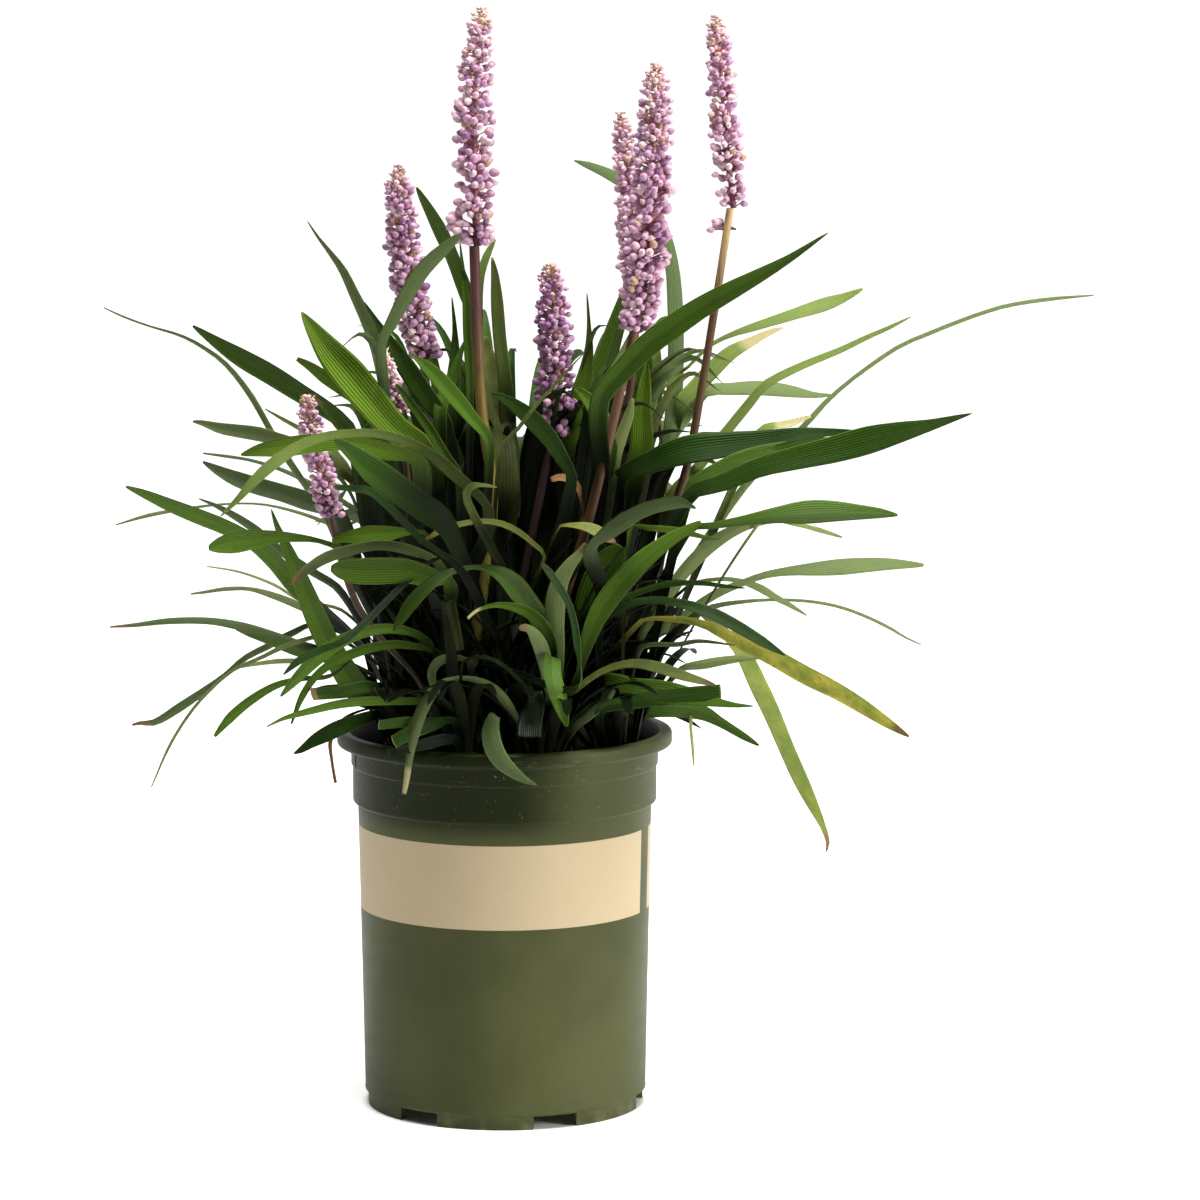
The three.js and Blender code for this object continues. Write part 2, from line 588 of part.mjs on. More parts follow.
// Plants one blade where it clears all that is there: `routes` gives the ways to try,
// the best one first. A drawn blade may cross one of its own tuft if nothing else is left.
const STRICT_WAYS = [[1, true], [0.75, true]];
const LAST_WAYS = [[1, false], [0.75, false]];
function plant(leafDrawn, seats, routes, grown, tufts) {
  const ways = leafDrawn.points ? [...STRICT_WAYS, ...LAST_WAYS] : STRICT_WAYS;
  for (const [widen, strict] of ways) {
    for (const route of routes) {
      for (const seat of seats.slice(0, SEATS_TRIED)) {
        const through = route(seat);
        const outer = boxed(bladeSolid(leafDrawn, seat, through, widen, CLEARANCE, 0.1));
        const whole = boxed(bladeSolid(leafDrawn, seat, through, widen, CLEARANCE));
        const fits = !grown.some((other) => (other.tuft === leafDrawn.crown
          ? strict && touches(outer, other)
          : touches(whole, other)));
        if (fits) {
          const blade = boxed(bladeSolid(leafDrawn, seat, through, widen), leafDrawn.crown);
          grown.push(blade);
          tufts[leafDrawn.crown].push(blade.solid);
          seats.splice(seats.indexOf(seat), 1);
          return true;
        }
      }
    }
  }
  return false;
}

function seatsTowards(seats, heading, uprightLeaf) {
  const miss = ({ angle, heart }) =>
    Math.abs(Math.atan2(Math.sin(angle - heading), Math.cos(angle - heading)))
    + (heart === uprightLeaf ? 0 : 1.2);
  return seats.sort((a, b) => miss(a) - miss(b));
}

const between = ([low, high], share) => THREE.MathUtils.lerp(low, high, share);

function fillRoute(crown, random) {
  const outward = Math.hypot(crown.x, crown.y) < 1
    ? random() * 2 * Math.PI
    : Math.atan2(crown.y, crown.x);
  const heading = outward + between([-1, 1], random());
  const lean = random() ** 1.2;
  const reach = between(FILL_REACH, lean);
  const rise = between(FILL_RISE, lean) * between([0.75, 1.12], random());
  const droop = 1.02 - between([0.1, 0.36], lean) * random();
  const sway = between([-0.18, 0.18], random());
  const away = new THREE.Vector3(Math.cos(heading), Math.sin(heading), 0);
  const aside = new THREE.Vector3(-away.y, away.x, 0);
  return { heading, away, aside, reach, rise, droop, sway };
}

function throughPoints({ away, aside, reach, rise, droop, sway }, foot) {
  const stop = (out, up) => foot.clone()
    .addScaledVector(away, reach * out)
    .addScaledVector(aside, reach * sway * out * out)
    .add(new THREE.Vector3(0, 0, rise * up));
  return [stop(0.28, 0.62), stop(0.62, 0.97), stop(1, droop)];
}

function staysInFoliage(points) {
  return points.every((point) => {
    const sight = point.clone().sub(EYE);
    const seen = sight.multiplyScalar(-EYE.y / sight.y).add(EYE);
    return seen.x > FILL_LEFT && seen.x < FILL_RIGHT && seen.z < FILL_HIGHEST;
  });
}

function growLeaves(obstacles) {
  const grown = [...obstacles];
  const tufts = crowns.map(() => []);
  const seats = crowns.map(seatsOf);
  for (const drawn of drawnLeaves) {
    const crown = crowns[drawn.crown];
    const tip = onElevation(drawn.points[drawn.points.length - 1], drawn.depth);
    const heading = Math.atan2(tip.y - crown.y, tip.x - crown.x);
    const standsUp = Math.abs(tip.x - crown.x) < UPRIGHT_REACH && tip.z > UPRIGHT_HEIGHT;
    seatsTowards(seats[drawn.crown], heading, standsUp);
    const routes = DEPTH_SHIFTS.map((shift) => (seat) =>
      drawnRoute(drawn, seat.foot, shift));
    if (!plant(drawn, seats[drawn.crown], routes, grown, tufts)) {
      throw new Error(`no room for the leaf to ${drawn.points.at(-1)}`);
    }
  }
  const random = seededRandom(FILL_SEED);
  for (let round = 0; round < LEAVES_PER_CROWN; round += 1) {
    crowns.forEach((crown, number) => {
      if (tufts[number].length >= LEAVES_PER_CROWN || tufts[number].length > round + 3) {
        return;
      }
      const width = between([8, 13], random());
      const turn = between([-25, 45], random());
      const drawn = { crown: number, width, turn, ending: POINTED };
      for (let attempt = 0; attempt < FILL_TRIES; attempt += 1) {
        const shape = fillRoute(crown, random);
        seatsTowards(seats[number], shape.heading, shape.reach < UPRIGHT_REACH);
        const [seat] = seats[number];
        if (staysInFoliage(throughPoints(shape, seat.foot))) {
          const routes = [({ foot }) => throughPoints(shape, foot)];
          if (plant(drawn, seats[number], routes, grown, tufts)) {
            return;
          }
        }
      }
    });
  }
  return tufts;
}

// --- Soil -----------------------------------------------------------------------------

function makeSoil(stands) {
  const wall = (height) => BODY_FOOT_RADIUS - POT_WALL - FIT_GAP
    + ((BODY_TOP_RADIUS - BODY_FOOT_RADIUS) * height) / COLLAR_BOTTOM;
  const floor = FOOT_HEIGHT + FLOOR_THICKNESS + FIT_GAP;
  const edge = wall(COLLAR_BOTTOM) - 1;
  const profile = [[0, floor], [wall(0) - 0.5, floor], [edge, SOIL_EDGE_HEIGHT]];
  for (const radius of [...SOIL_RINGS].reverse()) {
    profile.push([radius, SOIL_EDGE_HEIGHT + SOIL_MOUND * (1 - radius / edge)]);
  }
  profile.push([0, SOIL_EDGE_HEIGHT + SOIL_MOUND]);
  const geometry = turned(profile, SOIL_SIDES);
  const position = geometry.attributes.position;
  for (let i = 0; i < position.count; i += 1) {
    const x = position.getX(i);
    const y = position.getY(i);
    const z = position.getZ(i);
    if (z > SOIL_EDGE_HEIGHT - 1 && Math.hypot(x, y) < edge - 1) {
      const lumps = Math.sin(x * 0.31 + y * 0.17) + Math.sin(y * 0.37 - x * 0.11);
      position.setZ(i, z + 0.9 * lumps);
    }
  }
  let soil = solidOf(geometry);
  for (const stand of stands) {
    soil = soil.subtract(stand);
  }
  return soil;
}

// --- Assembly -------------------------------------------------------------------------

const plantInPot = new THREE.Group();

const pot = makePot();
plantInPot.add(meshOf('pot', pot, POT_GREEN));

const soil = makeSoil([
  ...crowns.map((crown) => crownSolid(crown, FIT_GAP * 1.1)),
  ...spikes.map(({ base, stemRadius }) => upright(base[0], base[1], STEM_SIDES, [
    [STEM_BOTTOM - FIT_GAP, stemRadius * STEM_FLARE + 2 * FIT_GAP],
    [CROWN_TOP, stemRadius * STEM_FLARE + 2 * FIT_GAP],
  ])),
]);
plantInPot.add(meshOf('soil', soil, SOIL_BROWN));

spikes.forEach((one, i) => {
  plantInPot.add(meshOf(`flower_stem_${i + 1}`, stemSolid(one), STEM_BROWN));
  plantInPot.add(meshOf(`flower_head_${i + 1}`, headSolid(one), BUD_LILAC));
});

const tufts = growLeaves([
  boxed(pot),
  boxed(soil),
  ...crowns.map((crown, i) => boxed(crownSolid(crown), i)),
  ...spikes.map((one) => boxed(stemSolid(one))),
  ...spikes.map((one) => boxed(headEnvelope(one))),
]);
tufts.forEach((blades, i) => {
  const tuft = blades.reduce((joined, blade) => joined.add(blade), crownSolid(crowns[i]));
  plantInPot.add(meshOf(`leaf_tuft_${i + 1}`, tuft, LEAF_GREEN));
});

export default plantInPot;
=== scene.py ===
"""A liriope in flower in its nursery pot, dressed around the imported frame."""
import math
import random

import bmesh
import bpy
import numpy as np
from mathutils import Matrix, Vector, noise


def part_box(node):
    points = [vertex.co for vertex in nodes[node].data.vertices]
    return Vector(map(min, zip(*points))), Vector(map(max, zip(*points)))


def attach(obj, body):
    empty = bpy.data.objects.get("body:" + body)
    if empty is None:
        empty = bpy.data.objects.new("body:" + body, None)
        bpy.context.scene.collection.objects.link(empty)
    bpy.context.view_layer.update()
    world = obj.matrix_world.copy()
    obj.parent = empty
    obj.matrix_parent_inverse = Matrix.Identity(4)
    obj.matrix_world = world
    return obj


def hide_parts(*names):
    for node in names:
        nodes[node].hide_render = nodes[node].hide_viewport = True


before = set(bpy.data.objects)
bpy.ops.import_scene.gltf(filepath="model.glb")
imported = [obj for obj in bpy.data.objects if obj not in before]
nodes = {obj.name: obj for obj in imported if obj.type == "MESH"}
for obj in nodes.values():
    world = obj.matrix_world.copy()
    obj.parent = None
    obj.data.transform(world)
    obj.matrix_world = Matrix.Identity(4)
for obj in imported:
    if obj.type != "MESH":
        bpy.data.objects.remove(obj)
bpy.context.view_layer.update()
MM = 0.001


# --- The pot ------------------------------------------------------------------------------
# A round nursery pot, moulded in olive polypropylene: one thin wall with a stepped collar,
# a rolled lip, and a foot ring with six drainage notches. A cream band is printed round it
# and left bare, with one gap where its two ends don't meet.

def begin():
    """Leaves nothing selected, so that the next operator acts on what it adds."""
    bpy.ops.object.select_all(action="DESELECT")


def pick(piece):
    """Selects one piece alone and makes it the active one."""
    begin()
    piece.select_set(True)
    bpy.context.view_layer.objects.active = piece


def christen(name):
    """Names the piece that was added last."""
    piece = bpy.context.object
    piece.name = name
    piece.data.name = name
    return piece


def apply_place(piece):
    """Moves the piece's place, turn and size into its mesh."""
    pick(piece)
    bpy.ops.object.transform_apply(location=True, rotation=True, scale=True)


def pull_along(name, sides, stations):
    """A closed round form: a disc pulled through stations of (centre, radius)."""
    begin()
    centre, radius = stations[0]
    bpy.ops.mesh.primitive_circle_add(
        vertices=sides, radius=radius, fill_type="NGON", location=centre)
    piece = christen(name)
    bpy.ops.object.mode_set(mode="EDIT")
    for (centre, radius), (next_centre, next_radius) in zip(stations, stations[1:]):
        step = Vector(next_centre) - Vector(centre)
        bpy.ops.mesh.extrude_region_move(TRANSFORM_OT_translate={"value": step})
        grow = next_radius / radius
        bpy.ops.transform.resize(value=(grow, grow, 1), center_override=next_centre)
    bpy.ops.mesh.select_all(action="SELECT")
    bpy.ops.mesh.normals_make_consistent(inside=False)
    bpy.ops.object.mode_set(mode="OBJECT")
    apply_place(piece)
    return piece


def finish_edges(piece, width, segments, above_deg):
    """Rounds the sharp edges of a piece and smooths the rest."""
    pick(piece)
    bpy.ops.object.modifier_add(type="BEVEL")
    bevel = piece.modifiers[-1]
    bevel.width = width
    bevel.segments = segments
    bevel.limit_method = "ANGLE"
    bevel.angle_limit = math.radians(above_deg)
    bpy.ops.object.modifier_apply(modifier=bevel.name)
    bpy.ops.object.shade_smooth_by_angle(angle=math.radians(above_deg))


def cut_away(piece, tool):
    """Cuts the tool's shape out of a piece, and removes the tool."""
    pick(piece)
    bpy.ops.object.modifier_add(type="BOOLEAN")
    cut = piece.modifiers[-1]
    cut.operation = "DIFFERENCE"
    cut.solver = "EXACT"
    cut.object = tool
    bpy.ops.object.modifier_apply(modifier=cut.name)
    bpy.data.objects.remove(tool)


def corner(radius, height, size, start_deg, stop_deg):
    """Points (radius, height) of a rounded corner, by angle up from straight out."""
    angles = [math.radians(start_deg + (stop_deg - start_deg) * i / 5) for i in range(6)]
    return [(radius + size * math.cos(a), height + size * math.sin(a)) for a in angles]


pot_sides = 160
pad_radius = 18
pot_height = 190
foot_radius = 69.3
foot_wall = 3.2
foot_height = 7
neck_radius = 77
collar_radius = 76.2
collar_bottom = 154
collar_top = 172.6
body_foot_radius = 70.8
body_top_radius = 73.7
wall = 2
floor_top = 10
lip_radius = 84
outside = [
    (pad_radius, 0), (pad_radius + 2, foot_height), (foot_radius - foot_wall, foot_height),
    (foot_radius - foot_wall, 0), (foot_radius, 0), (foot_radius, foot_height),
    (body_foot_radius - 0.4, foot_height + 0.2), (body_foot_radius + 0.1, foot_height + 0.7),
    (body_foot_radius + 0.1, foot_height + 1.3), (body_foot_radius - 0.05, foot_height + 2),
    (body_top_radius, collar_bottom - 1), (body_top_radius + 0.6, collar_bottom - 0.2),
    *corner(collar_radius - 1.2, collar_bottom + 1.2, 1.2, -60, 0),
    (collar_radius, collar_top - 0.4), (neck_radius, collar_top + 0.7),
    (neck_radius, pot_height - 9), (neck_radius + 0.8, pot_height - 8),
    *corner(lip_radius - 1.6, pot_height - 5.6, 1.6, -60, 0),
    *corner(lip_radius - 2, pot_height - 2, 2, 15, 90),
    *corner(lip_radius - 5, pot_height - 1.4, 1.4, 90, 170),
]
inside = [
    (collar_radius - wall, pot_height - 8.5), (collar_radius - wall, collar_top),
    (body_top_radius - 0.1 - wall, collar_bottom), (body_foot_radius - wall, floor_top + 1),
    (66, floor_top), (1, floor_top),
]
pot = pull_along("nursery_pot", pot_sides, [
    ((0, 0, height * MM), radius * MM) for radius, height in outside + inside])

notch_count = 6
notch_width = 23
notch_depth = 7.2
first_notch_deg = -128
begin()
for i in range(notch_count):
    turn = math.radians(first_notch_deg + i * 360 / notch_count)
    reach = foot_radius - foot_wall / 2
    bpy.ops.mesh.primitive_cube_add(
        size=1, rotation=(0, 0, turn),
        location=(reach * math.cos(turn) * MM, reach * math.sin(turn) * MM, 0),
        scale=(notch_depth * MM, notch_width * MM, (2 * foot_height - 1) * MM))
    notch = bpy.context.object
    if i == 0:
        notches = notch
    else:
        notches.select_set(True)
        bpy.context.view_layer.objects.active = notches
        bpy.ops.object.join()
cut_away(pot, notches)

# A narrow slit across the top of the collar, at the left.
slit_turn = math.radians(-163.4)
slit_height = 175
slit_length = 10
begin()
bpy.ops.mesh.primitive_cone_add(
    vertices=4, radius1=0.4 * MM, radius2=1.6 * MM, depth=slit_length * MM,
    location=(neck_radius * math.cos(slit_turn) * MM,
              neck_radius * math.sin(slit_turn) * MM, slit_height * MM),
    rotation=(0, 0, slit_turn))
cut_away(pot, bpy.context.object)
finish_edges(pot, width=0.3 * MM, segments=2, above_deg=32)


class Wire:
    """What comes out of one socket of a node, with sums written as arithmetic."""

    def __init__(self, nodes_of, socket):
        self.nodes_of = nodes_of
        self.socket = socket

    def sum(self, operation, *values):
        return self.nodes_of.node(
            "ShaderNodeMath", {"operation": operation}, dict(enumerate(values)))

    def __add__(self, other):
        return self.sum("ADD", self, other)

    def __sub__(self, other):
        return self.sum("SUBTRACT", self, other)

    def __rsub__(self, other):
        return self.sum("SUBTRACT", other, self)

    def __mul__(self, other):
        return self.sum("MULTIPLY", self, other)

    def __truediv__(self, other):
        return self.sum("DIVIDE", self, other)

    def __pow__(self, other):
        return self.sum("POWER", self, other)

    def __gt__(self, other):
        return self.sum("GREATER_THAN", self, other)

    def __lt__(self, other):
        return self.sum("LESS_THAN", self, other)

    __radd__ = __add__
    __rmul__ = __mul__

    def step(self, low, high):
        """Rises smoothly from 0 to 1 as the value goes from low to high."""
        return self.nodes_of.node("ShaderNodeMapRange", {"interpolation_type": "SMOOTHSTEP"}, {
            "Value": self, "From Min": low, "From Max": high})

    def also(self, name):
        """Another output of the same node."""
        return Wire(self.nodes_of, self.socket.node.outputs[name])

    def at_least(self, other):
        return self.sum("MAXIMUM", self, other)


class NodeTree:
    """The nodes of a material or of the world, built one by one around its shader."""

    def __init__(self, tree, shader):
        self.tree = tree
        self.shader = tree.nodes[shader]

    def node(self, kind, settings=None, sockets=None, out=0):
        """A node with its settings made first, then its sockets filled or linked."""
        made = self.tree.nodes.new(kind)
        for setting, value in (settings or {}).items():
            if setting == "stops":
                self.place_stops(made.color_ramp, value)
            else:
                setattr(made, setting, value)
        for socket, value in (sockets or {}).items():
            if isinstance(value, Wire):
                self.tree.links.new(value.socket, made.inputs[socket])
            else:
                made.inputs[socket].default_value = value
        return Wire(self, made.outputs[out])

    @staticmethod
    def place_stops(ramp, stops):
        for element, (place, colour) in zip(ramp.elements, (stops[0], stops[-1])):
            element.position = place
            element.color = colour
        for place, colour in stops[1:-1]:
            ramp.elements.new(place).color = colour

    def mix(self, share, first, second):
        """The first colour where share is 0, the second where it is 1."""
        return self.node("ShaderNodeMix", {"data_type": "RGBA"},
                         {0: share, 6: first, 7: second}, out=2)

    def noise(self, place, scale, detail=2, roughness=0.5):
        return self.node("ShaderNodeTexNoise", {}, {
            "Vector": place, "Scale": scale, "Detail": detail, "Roughness": roughness})

    def axis(self, place, name):
        return self.node("ShaderNodeSeparateXYZ", {}, {"Vector": place}, out=name)

    def distance(self, place, middle=(0, 0, 0), scale=(1, 1, 1)):
        """How far a place is from a middle, once both are scaled."""
        moved = self.node("ShaderNodeMapping", {}, {
            "Vector": place, "Location": [-m * k for m, k in zip(middle, scale)],
            "Scale": scale})
        return self.node("ShaderNodeVectorMath", {"operation": "LENGTH"}, {0: moved},
                         out="Value")

    def ramp(self, share, *stops):
        return self.node("ShaderNodeValToRGB", {"stops": stops}, {0: share})

    def feed(self, socket, wire):
        self.tree.links.new(wire.socket, self.shader.inputs[socket])


class Finish(NodeTree):
    """A material, with the values of its shader that don't vary."""

    def __init__(self, name, fixed):
        self.material = bpy.data.materials.new(name)
        self.material.use_nodes = True
        super().__init__(self.material.node_tree, "Principled BSDF")
        for socket, value in fixed.items():
            self.shader.inputs[socket].default_value = value

    def place(self):
        """Object coordinates, in metres, in the part's own frame."""
        return self.node("ShaderNodeTexCoord", out="Object")

    def told(self, name):
        """The four values that tell() stores on a piece under a name."""
        spot = self.node("ShaderNodeAttribute", {"attribute_name": name}, out="Color")
        first = self.node("ShaderNodeSeparateColor", {}, {"Color": spot}, out="Red")
        return first, first.also("Green"), first.also("Blue"), spot.also("Alpha")

    def bump(self, height, distance, strength=1.0):
        self.feed("Normal", self.node("ShaderNodeBump", {}, {
            "Height": height, "Distance": distance, "Strength": strength}))

    def put_on(self, piece):
        piece.data.materials.clear()
        piece.data.materials.append(self.material)


def rgb(red, green, blue):
    """A colour given as on screen, 0 to 255, as the shader wants it."""
    def linear(value):
        value /= 255
        return value / 12.92 if value <= 0.04045 else ((value + 0.055) / 1.055) ** 2.4
    return (linear(red), linear(green), linear(blue), 1)


olive = Finish("olive_polypropylene", {"Specular IOR Level": 0.11})
place = olive.place()
height = olive.axis(place, "Z")
angle = height.sum("ARCTAN2", height.also("Y"), height.also("X"))
cloud = olive.noise(place, 14, 3)
plastic = olive.mix(cloud.step(0.35, 0.65), rgb(68, 72, 42), rgb(78, 82, 48))
# Painted shade: the collar is painted a deeper green than the body, for the shade of the lip and
# the leaves over it, and less deep at its right, a painted light where the light from the right
# falls.
painted_light_right = angle.step(math.radians(-88), math.radians(-58)) * (1 - angle.step(0.0, 1.0))
collar = height.step(0.142, 0.156) * (0.92 - 0.7 * painted_light_right)
plastic = olive.mix(collar, plastic, rgb(18, 28, 1))

band_low = 0.101
band_high = 0.143
gap_from = math.radians(-21.3)
gap_to = math.radians(-11.7)
in_band = (height > band_low) * (height < band_high)
in_gap = (angle > gap_from) * (angle < gap_to)
band = in_band * (1 - in_gap)
cream = olive.mix(olive.noise(place, 900, 2), rgb(186, 168, 135), rgb(194, 178, 147))
coat = olive.mix(band, plastic, cream)

specks = olive.noise(place, 760, 1).step(0.745, 0.77) * (0.15 + 0.5 * height.step(0.12, 0.16))
squashed = olive.node("ShaderNodeMapping", {}, {"Vector": place, "Scale": (1, 1, 5)})
scuffs = olive.noise(squashed, 42, 6, 0.7).step(0.58, 0.74) * height.step(0.148, 0.16)
dust = (specks * 0.6).at_least(scuffs * 0.26)
low_dust = (1 - height.step(0.0, 0.012)) * olive.noise(place, 130, 3).step(0.45, 0.7) * 0.25
coat = olive.mix(dust.at_least(low_dust), coat, rgb(150, 146, 118))
# Painted shade: the inner face of the wall, from the collar up over the inside of the lip, is
# painted near black.
from_axis = olive.distance(place, scale=(1, 1, 0))
inner_radius = from_axis - height.step(0.181, 0.183) * 0.0024
inside_painted_shade = (1 - inner_radius.step(0.0746, 0.0756)) * height.step(0.1565, 0.158)
coat = olive.mix(inside_painted_shade * 0.9, coat, rgb(8, 9, 4))
olive.feed("Base Color", coat)
sheen = olive.noise(squashed, 30, 4)
olive.feed("Roughness", 0.36 + 0.14 * sheen + 0.2 * dust + 0.12 * band)
olive.bump(olive.noise(place, 1300, 2) + 2 * olive.noise(squashed, 18, 2), 0.00008)
olive.put_on(pot)
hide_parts("pot")
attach(pot, "root")


# --- The soil -----------------------------------------------------------------------------
# Dark potting mix that fills the pot to below its lip, mounded in the middle, with chips of bark on
# it, and straw-coloured bits of old leaves.

soil_low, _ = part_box("soil")
soil_foot_radius = 68 * MM
soil_wall_radius = 71 * MM
soil_radius = 71.2 * MM
soil_edge = 170 * MM
soil_mound = 5 * MM
draw = random.Random(4)


def ground_at(x, y):
    """Height of the soil's surface, in metres."""
    share = min(1, math.hypot(x, y) / soil_radius)
    lumps = noise.fractal(Vector((x, y, 0.3)) * 90, 0.7, 2.1, 4)
    return soil_edge + soil_mound * (1 - share) + 1.9 * MM * lumps


soil_rings = 46
soil = pull_along("potting_soil", 120, [
    ((0, 0, soil_low.z), soil_foot_radius), ((0, 0, soil_edge - 20 * MM), soil_wall_radius),
    *(((0, 0, soil_edge), soil_radius * (1 - ring / soil_rings)) for ring in range(soil_rings))])
for vertex in soil.data.vertices:
    if vertex.co.z > soil_edge - MM:
        vertex.co.z = ground_at(vertex.co.x, vertex.co.y)
pick(soil)
bpy.ops.object.shade_smooth()

mix = Finish("bark_mix", {"Specular IOR Level": 0.25})
place = mix.place()
grains = mix.node("ShaderNodeTexVoronoi", {}, {"Vector": place, "Scale": 420})
cloud = mix.noise(place, 160, 5, 0.7)
earth = mix.mix(cloud.step(0.3, 0.7), rgb(22, 15, 11), rgb(62, 42, 30))
earth = mix.mix(mix.noise(place, 520, 2).step(0.62, 0.72), earth, rgb(104, 76, 52))
mix.feed("Base Color", earth)
mix.feed("Roughness", 0.75 + 0.25 * cloud)
mix.bump(grains + cloud * 2, 0.0009)
mix.put_on(soil)
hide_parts("soil")
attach(soil, "root")


def tell(piece, name, colours):
    """Stores one colour, or one for each point, that the piece's material reads."""
    count = len(piece.data.vertices)
    if not isinstance(colours, list):
        colours = [colours] * count
    layer = piece.data.attributes.new(name, "FLOAT_COLOR", "POINT")
    layer.data.foreach_set("color", [value for colour in colours for value in colour])


def copied(master, name):
    """A copy of a modelled form, with a mesh of its own."""
    piece = master.copy()
    piece.data = master.data.copy()
    piece.name = name
    piece.data.name = name
    bpy.context.collection.objects.link(piece)
    return piece


def joined(name, pieces):
    begin()
    for piece in pieces:
        piece.select_set(True)
    bpy.context.view_layer.objects.active = pieces[0]
    bpy.ops.object.join()
    return christen(name)


def subdivide_edges(piece, direction, cuts):
    """Cuts all the edges of a piece that run along one axis."""
    pick(piece)
    bpy.ops.object.mode_set(mode="EDIT")
    work = bmesh.from_edit_mesh(piece.data)
    for face in work.faces:
        face.select = False
    for edge in work.edges:
        run = (edge.verts[1].co - edge.verts[0].co).normalized()
        edge.select = abs(run.dot(Vector(direction))) > 0.99
    bmesh.update_edit_mesh(piece.data)
    bpy.ops.mesh.subdivide(number_cuts=cuts)
    bpy.ops.object.mode_set(mode="OBJECT")


# One chip of bark: a flat flake with torn edges.
begin()
bpy.ops.mesh.primitive_cube_add(size=1, scale=(1, 0.55, 0.22))
chip = christen("bark_chip")
apply_place(chip)
subdivide_edges(chip, (1, 0, 0), 3)
subdivide_edges(chip, (0, 1, 0), 1)
for vertex in chip.data.vertices:
    x, y, _ = vertex.co
    vertex.co.y += 0.12 * math.sin(9 * x + 2) * (1 if y > 0 else -1) + 0.1 * x * x
    vertex.co.z += 0.14 * math.cos(5 * x) * (1 - abs(y))
bpy.ops.object.shade_smooth_by_angle(angle=math.radians(40))

# One bit of an old leaf: a thin strip, bent and twisted.
begin()
bpy.ops.mesh.primitive_cube_add(size=1, scale=(1, 0.14, 0.02))
straw = christen("leaf_litter")
apply_place(straw)
subdivide_edges(straw, (1, 0, 0), 8)
for vertex in straw.data.vertices:
    x, y, z = vertex.co
    curl = 1.1 * x
    vertex.co.y = y * math.cos(curl) * (1 - 0.5 * abs(x)) + 0.2 * x * x
    vertex.co.z = z + y * math.sin(curl) + 0.22 * x * x


def strewn(master, name, count, size_low, size_high, lift, tilt):
    """Copies of a form strewn over the soil, each with its own size, turn and shade."""
    bits = []
    for _ in range(count):
        out = soil_radius * 0.94 * math.sqrt(draw.random())
        heading = draw.uniform(0, 2 * math.pi)
        x, y = out * math.cos(heading), out * math.sin(heading)
        bit = copied(master, name)
        size = draw.uniform(size_low, size_high) * MM
        turn = Matrix.Rotation(draw.uniform(0, 2 * math.pi), 4, "Z")
        lean = Matrix.Rotation(draw.gauss(0, tilt), 4, "X")
        pitch = Matrix.Rotation(draw.gauss(0, tilt), 4, "Y")
        place = Matrix.Translation((x, y, ground_at(x, y) + lift * size))
        bit.data.transform(place @ turn @ lean @ pitch @ Matrix.Scale(size, 4))
        tell(bit, "litter_shade", (draw.random(), draw.random(), 0, 1))
        bits.append(bit)
    bpy.data.objects.remove(master)
    return joined(name, bits)


chips = strewn(chip, "bark_chips", count=520, size_low=3.5, size_high=10, lift=0.08, tilt=0.35)
litter = strewn(straw, "leaf_litter", count=90, size_low=9, size_high=24, lift=0.03, tilt=0.16)

bark = Finish("pine_bark", {"Specular IOR Level": 0.3})
place = bark.place()
shade, *_ = bark.told("litter_shade")
grain = bark.noise(place, 700, 4, 0.65)
bark.feed("Base Color", bark.ramp(
    shade * 0.8 + grain * 0.3, (0, rgb(20, 12, 9)), (0.45, rgb(52, 32, 22)),
    (0.8, rgb(86, 56, 38)), (1, rgb(122, 88, 58))))
bark.feed("Roughness", 0.7 + 0.25 * grain)
bark.bump(grain, 0.0006)
bark.put_on(chips)

dry = Finish("dry_leaf", {"Specular IOR Level": 0.3})
shade, *_ = dry.told("litter_shade")
fibre = dry.noise(dry.place(), 500, 3)
dry.feed("Base Color", dry.ramp(
    shade * 0.8 + fibre * 0.25, (0, rgb(70, 48, 30)), (0.6, rgb(142, 108, 66)),
    (1, rgb(186, 160, 112))))
dry.feed("Roughness", 0.6 + 0.3 * fibre)
dry.bump(fibre, 0.0003)
dry.put_on(litter)
for piece in (chips, litter):
    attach(piece, "root")


# --- The leaves ---------------------------------------------------------------------------
# Each tuft is a short stock, half in the soil, with about a dozen strap-shaped leaves. A
# leaf is a thin channelled blade with fine veins along it, glossy and dark above, greyer
# below, narrow and folded at its foot and pointed at its tip.

tufts = 15
leaf_stations = (0.91, 0.76, 0.6, 0.44, 0.28, 0.13)
stock_height = 176 * MM
stock_foot_top = 0.1555
stock_reach = 12 * MM
stock_top = 0.19
stock_profile = ((156, 6), (166, 9), (176, 10), (181, 8.6), (185, 5.5), (187, 2))
foot_circle = 6.5 * MM
foot_rise = 26 * MM

# The master leaf lies along Y from 0 to 1, from -1 to 1 across, and is a slab that each
# copy lays over its own sections.
begin()
bpy.ops.mesh.primitive_cube_add(size=1, location=(0, 0.5, 0), scale=(2, 1, 1))
master_leaf = christen("leaf")
apply_place(master_leaf)
short_master = copied(master_leaf, "short_leaf")
for master, lengths, widths in ((master_leaf, 40, 8), (short_master, 18, 4)):
    subdivide_edges(master, (0, 1, 0), lengths - 1)
    subdivide_edges(master, (1, 0, 0), widths - 1)
    bpy.ops.object.shade_smooth()


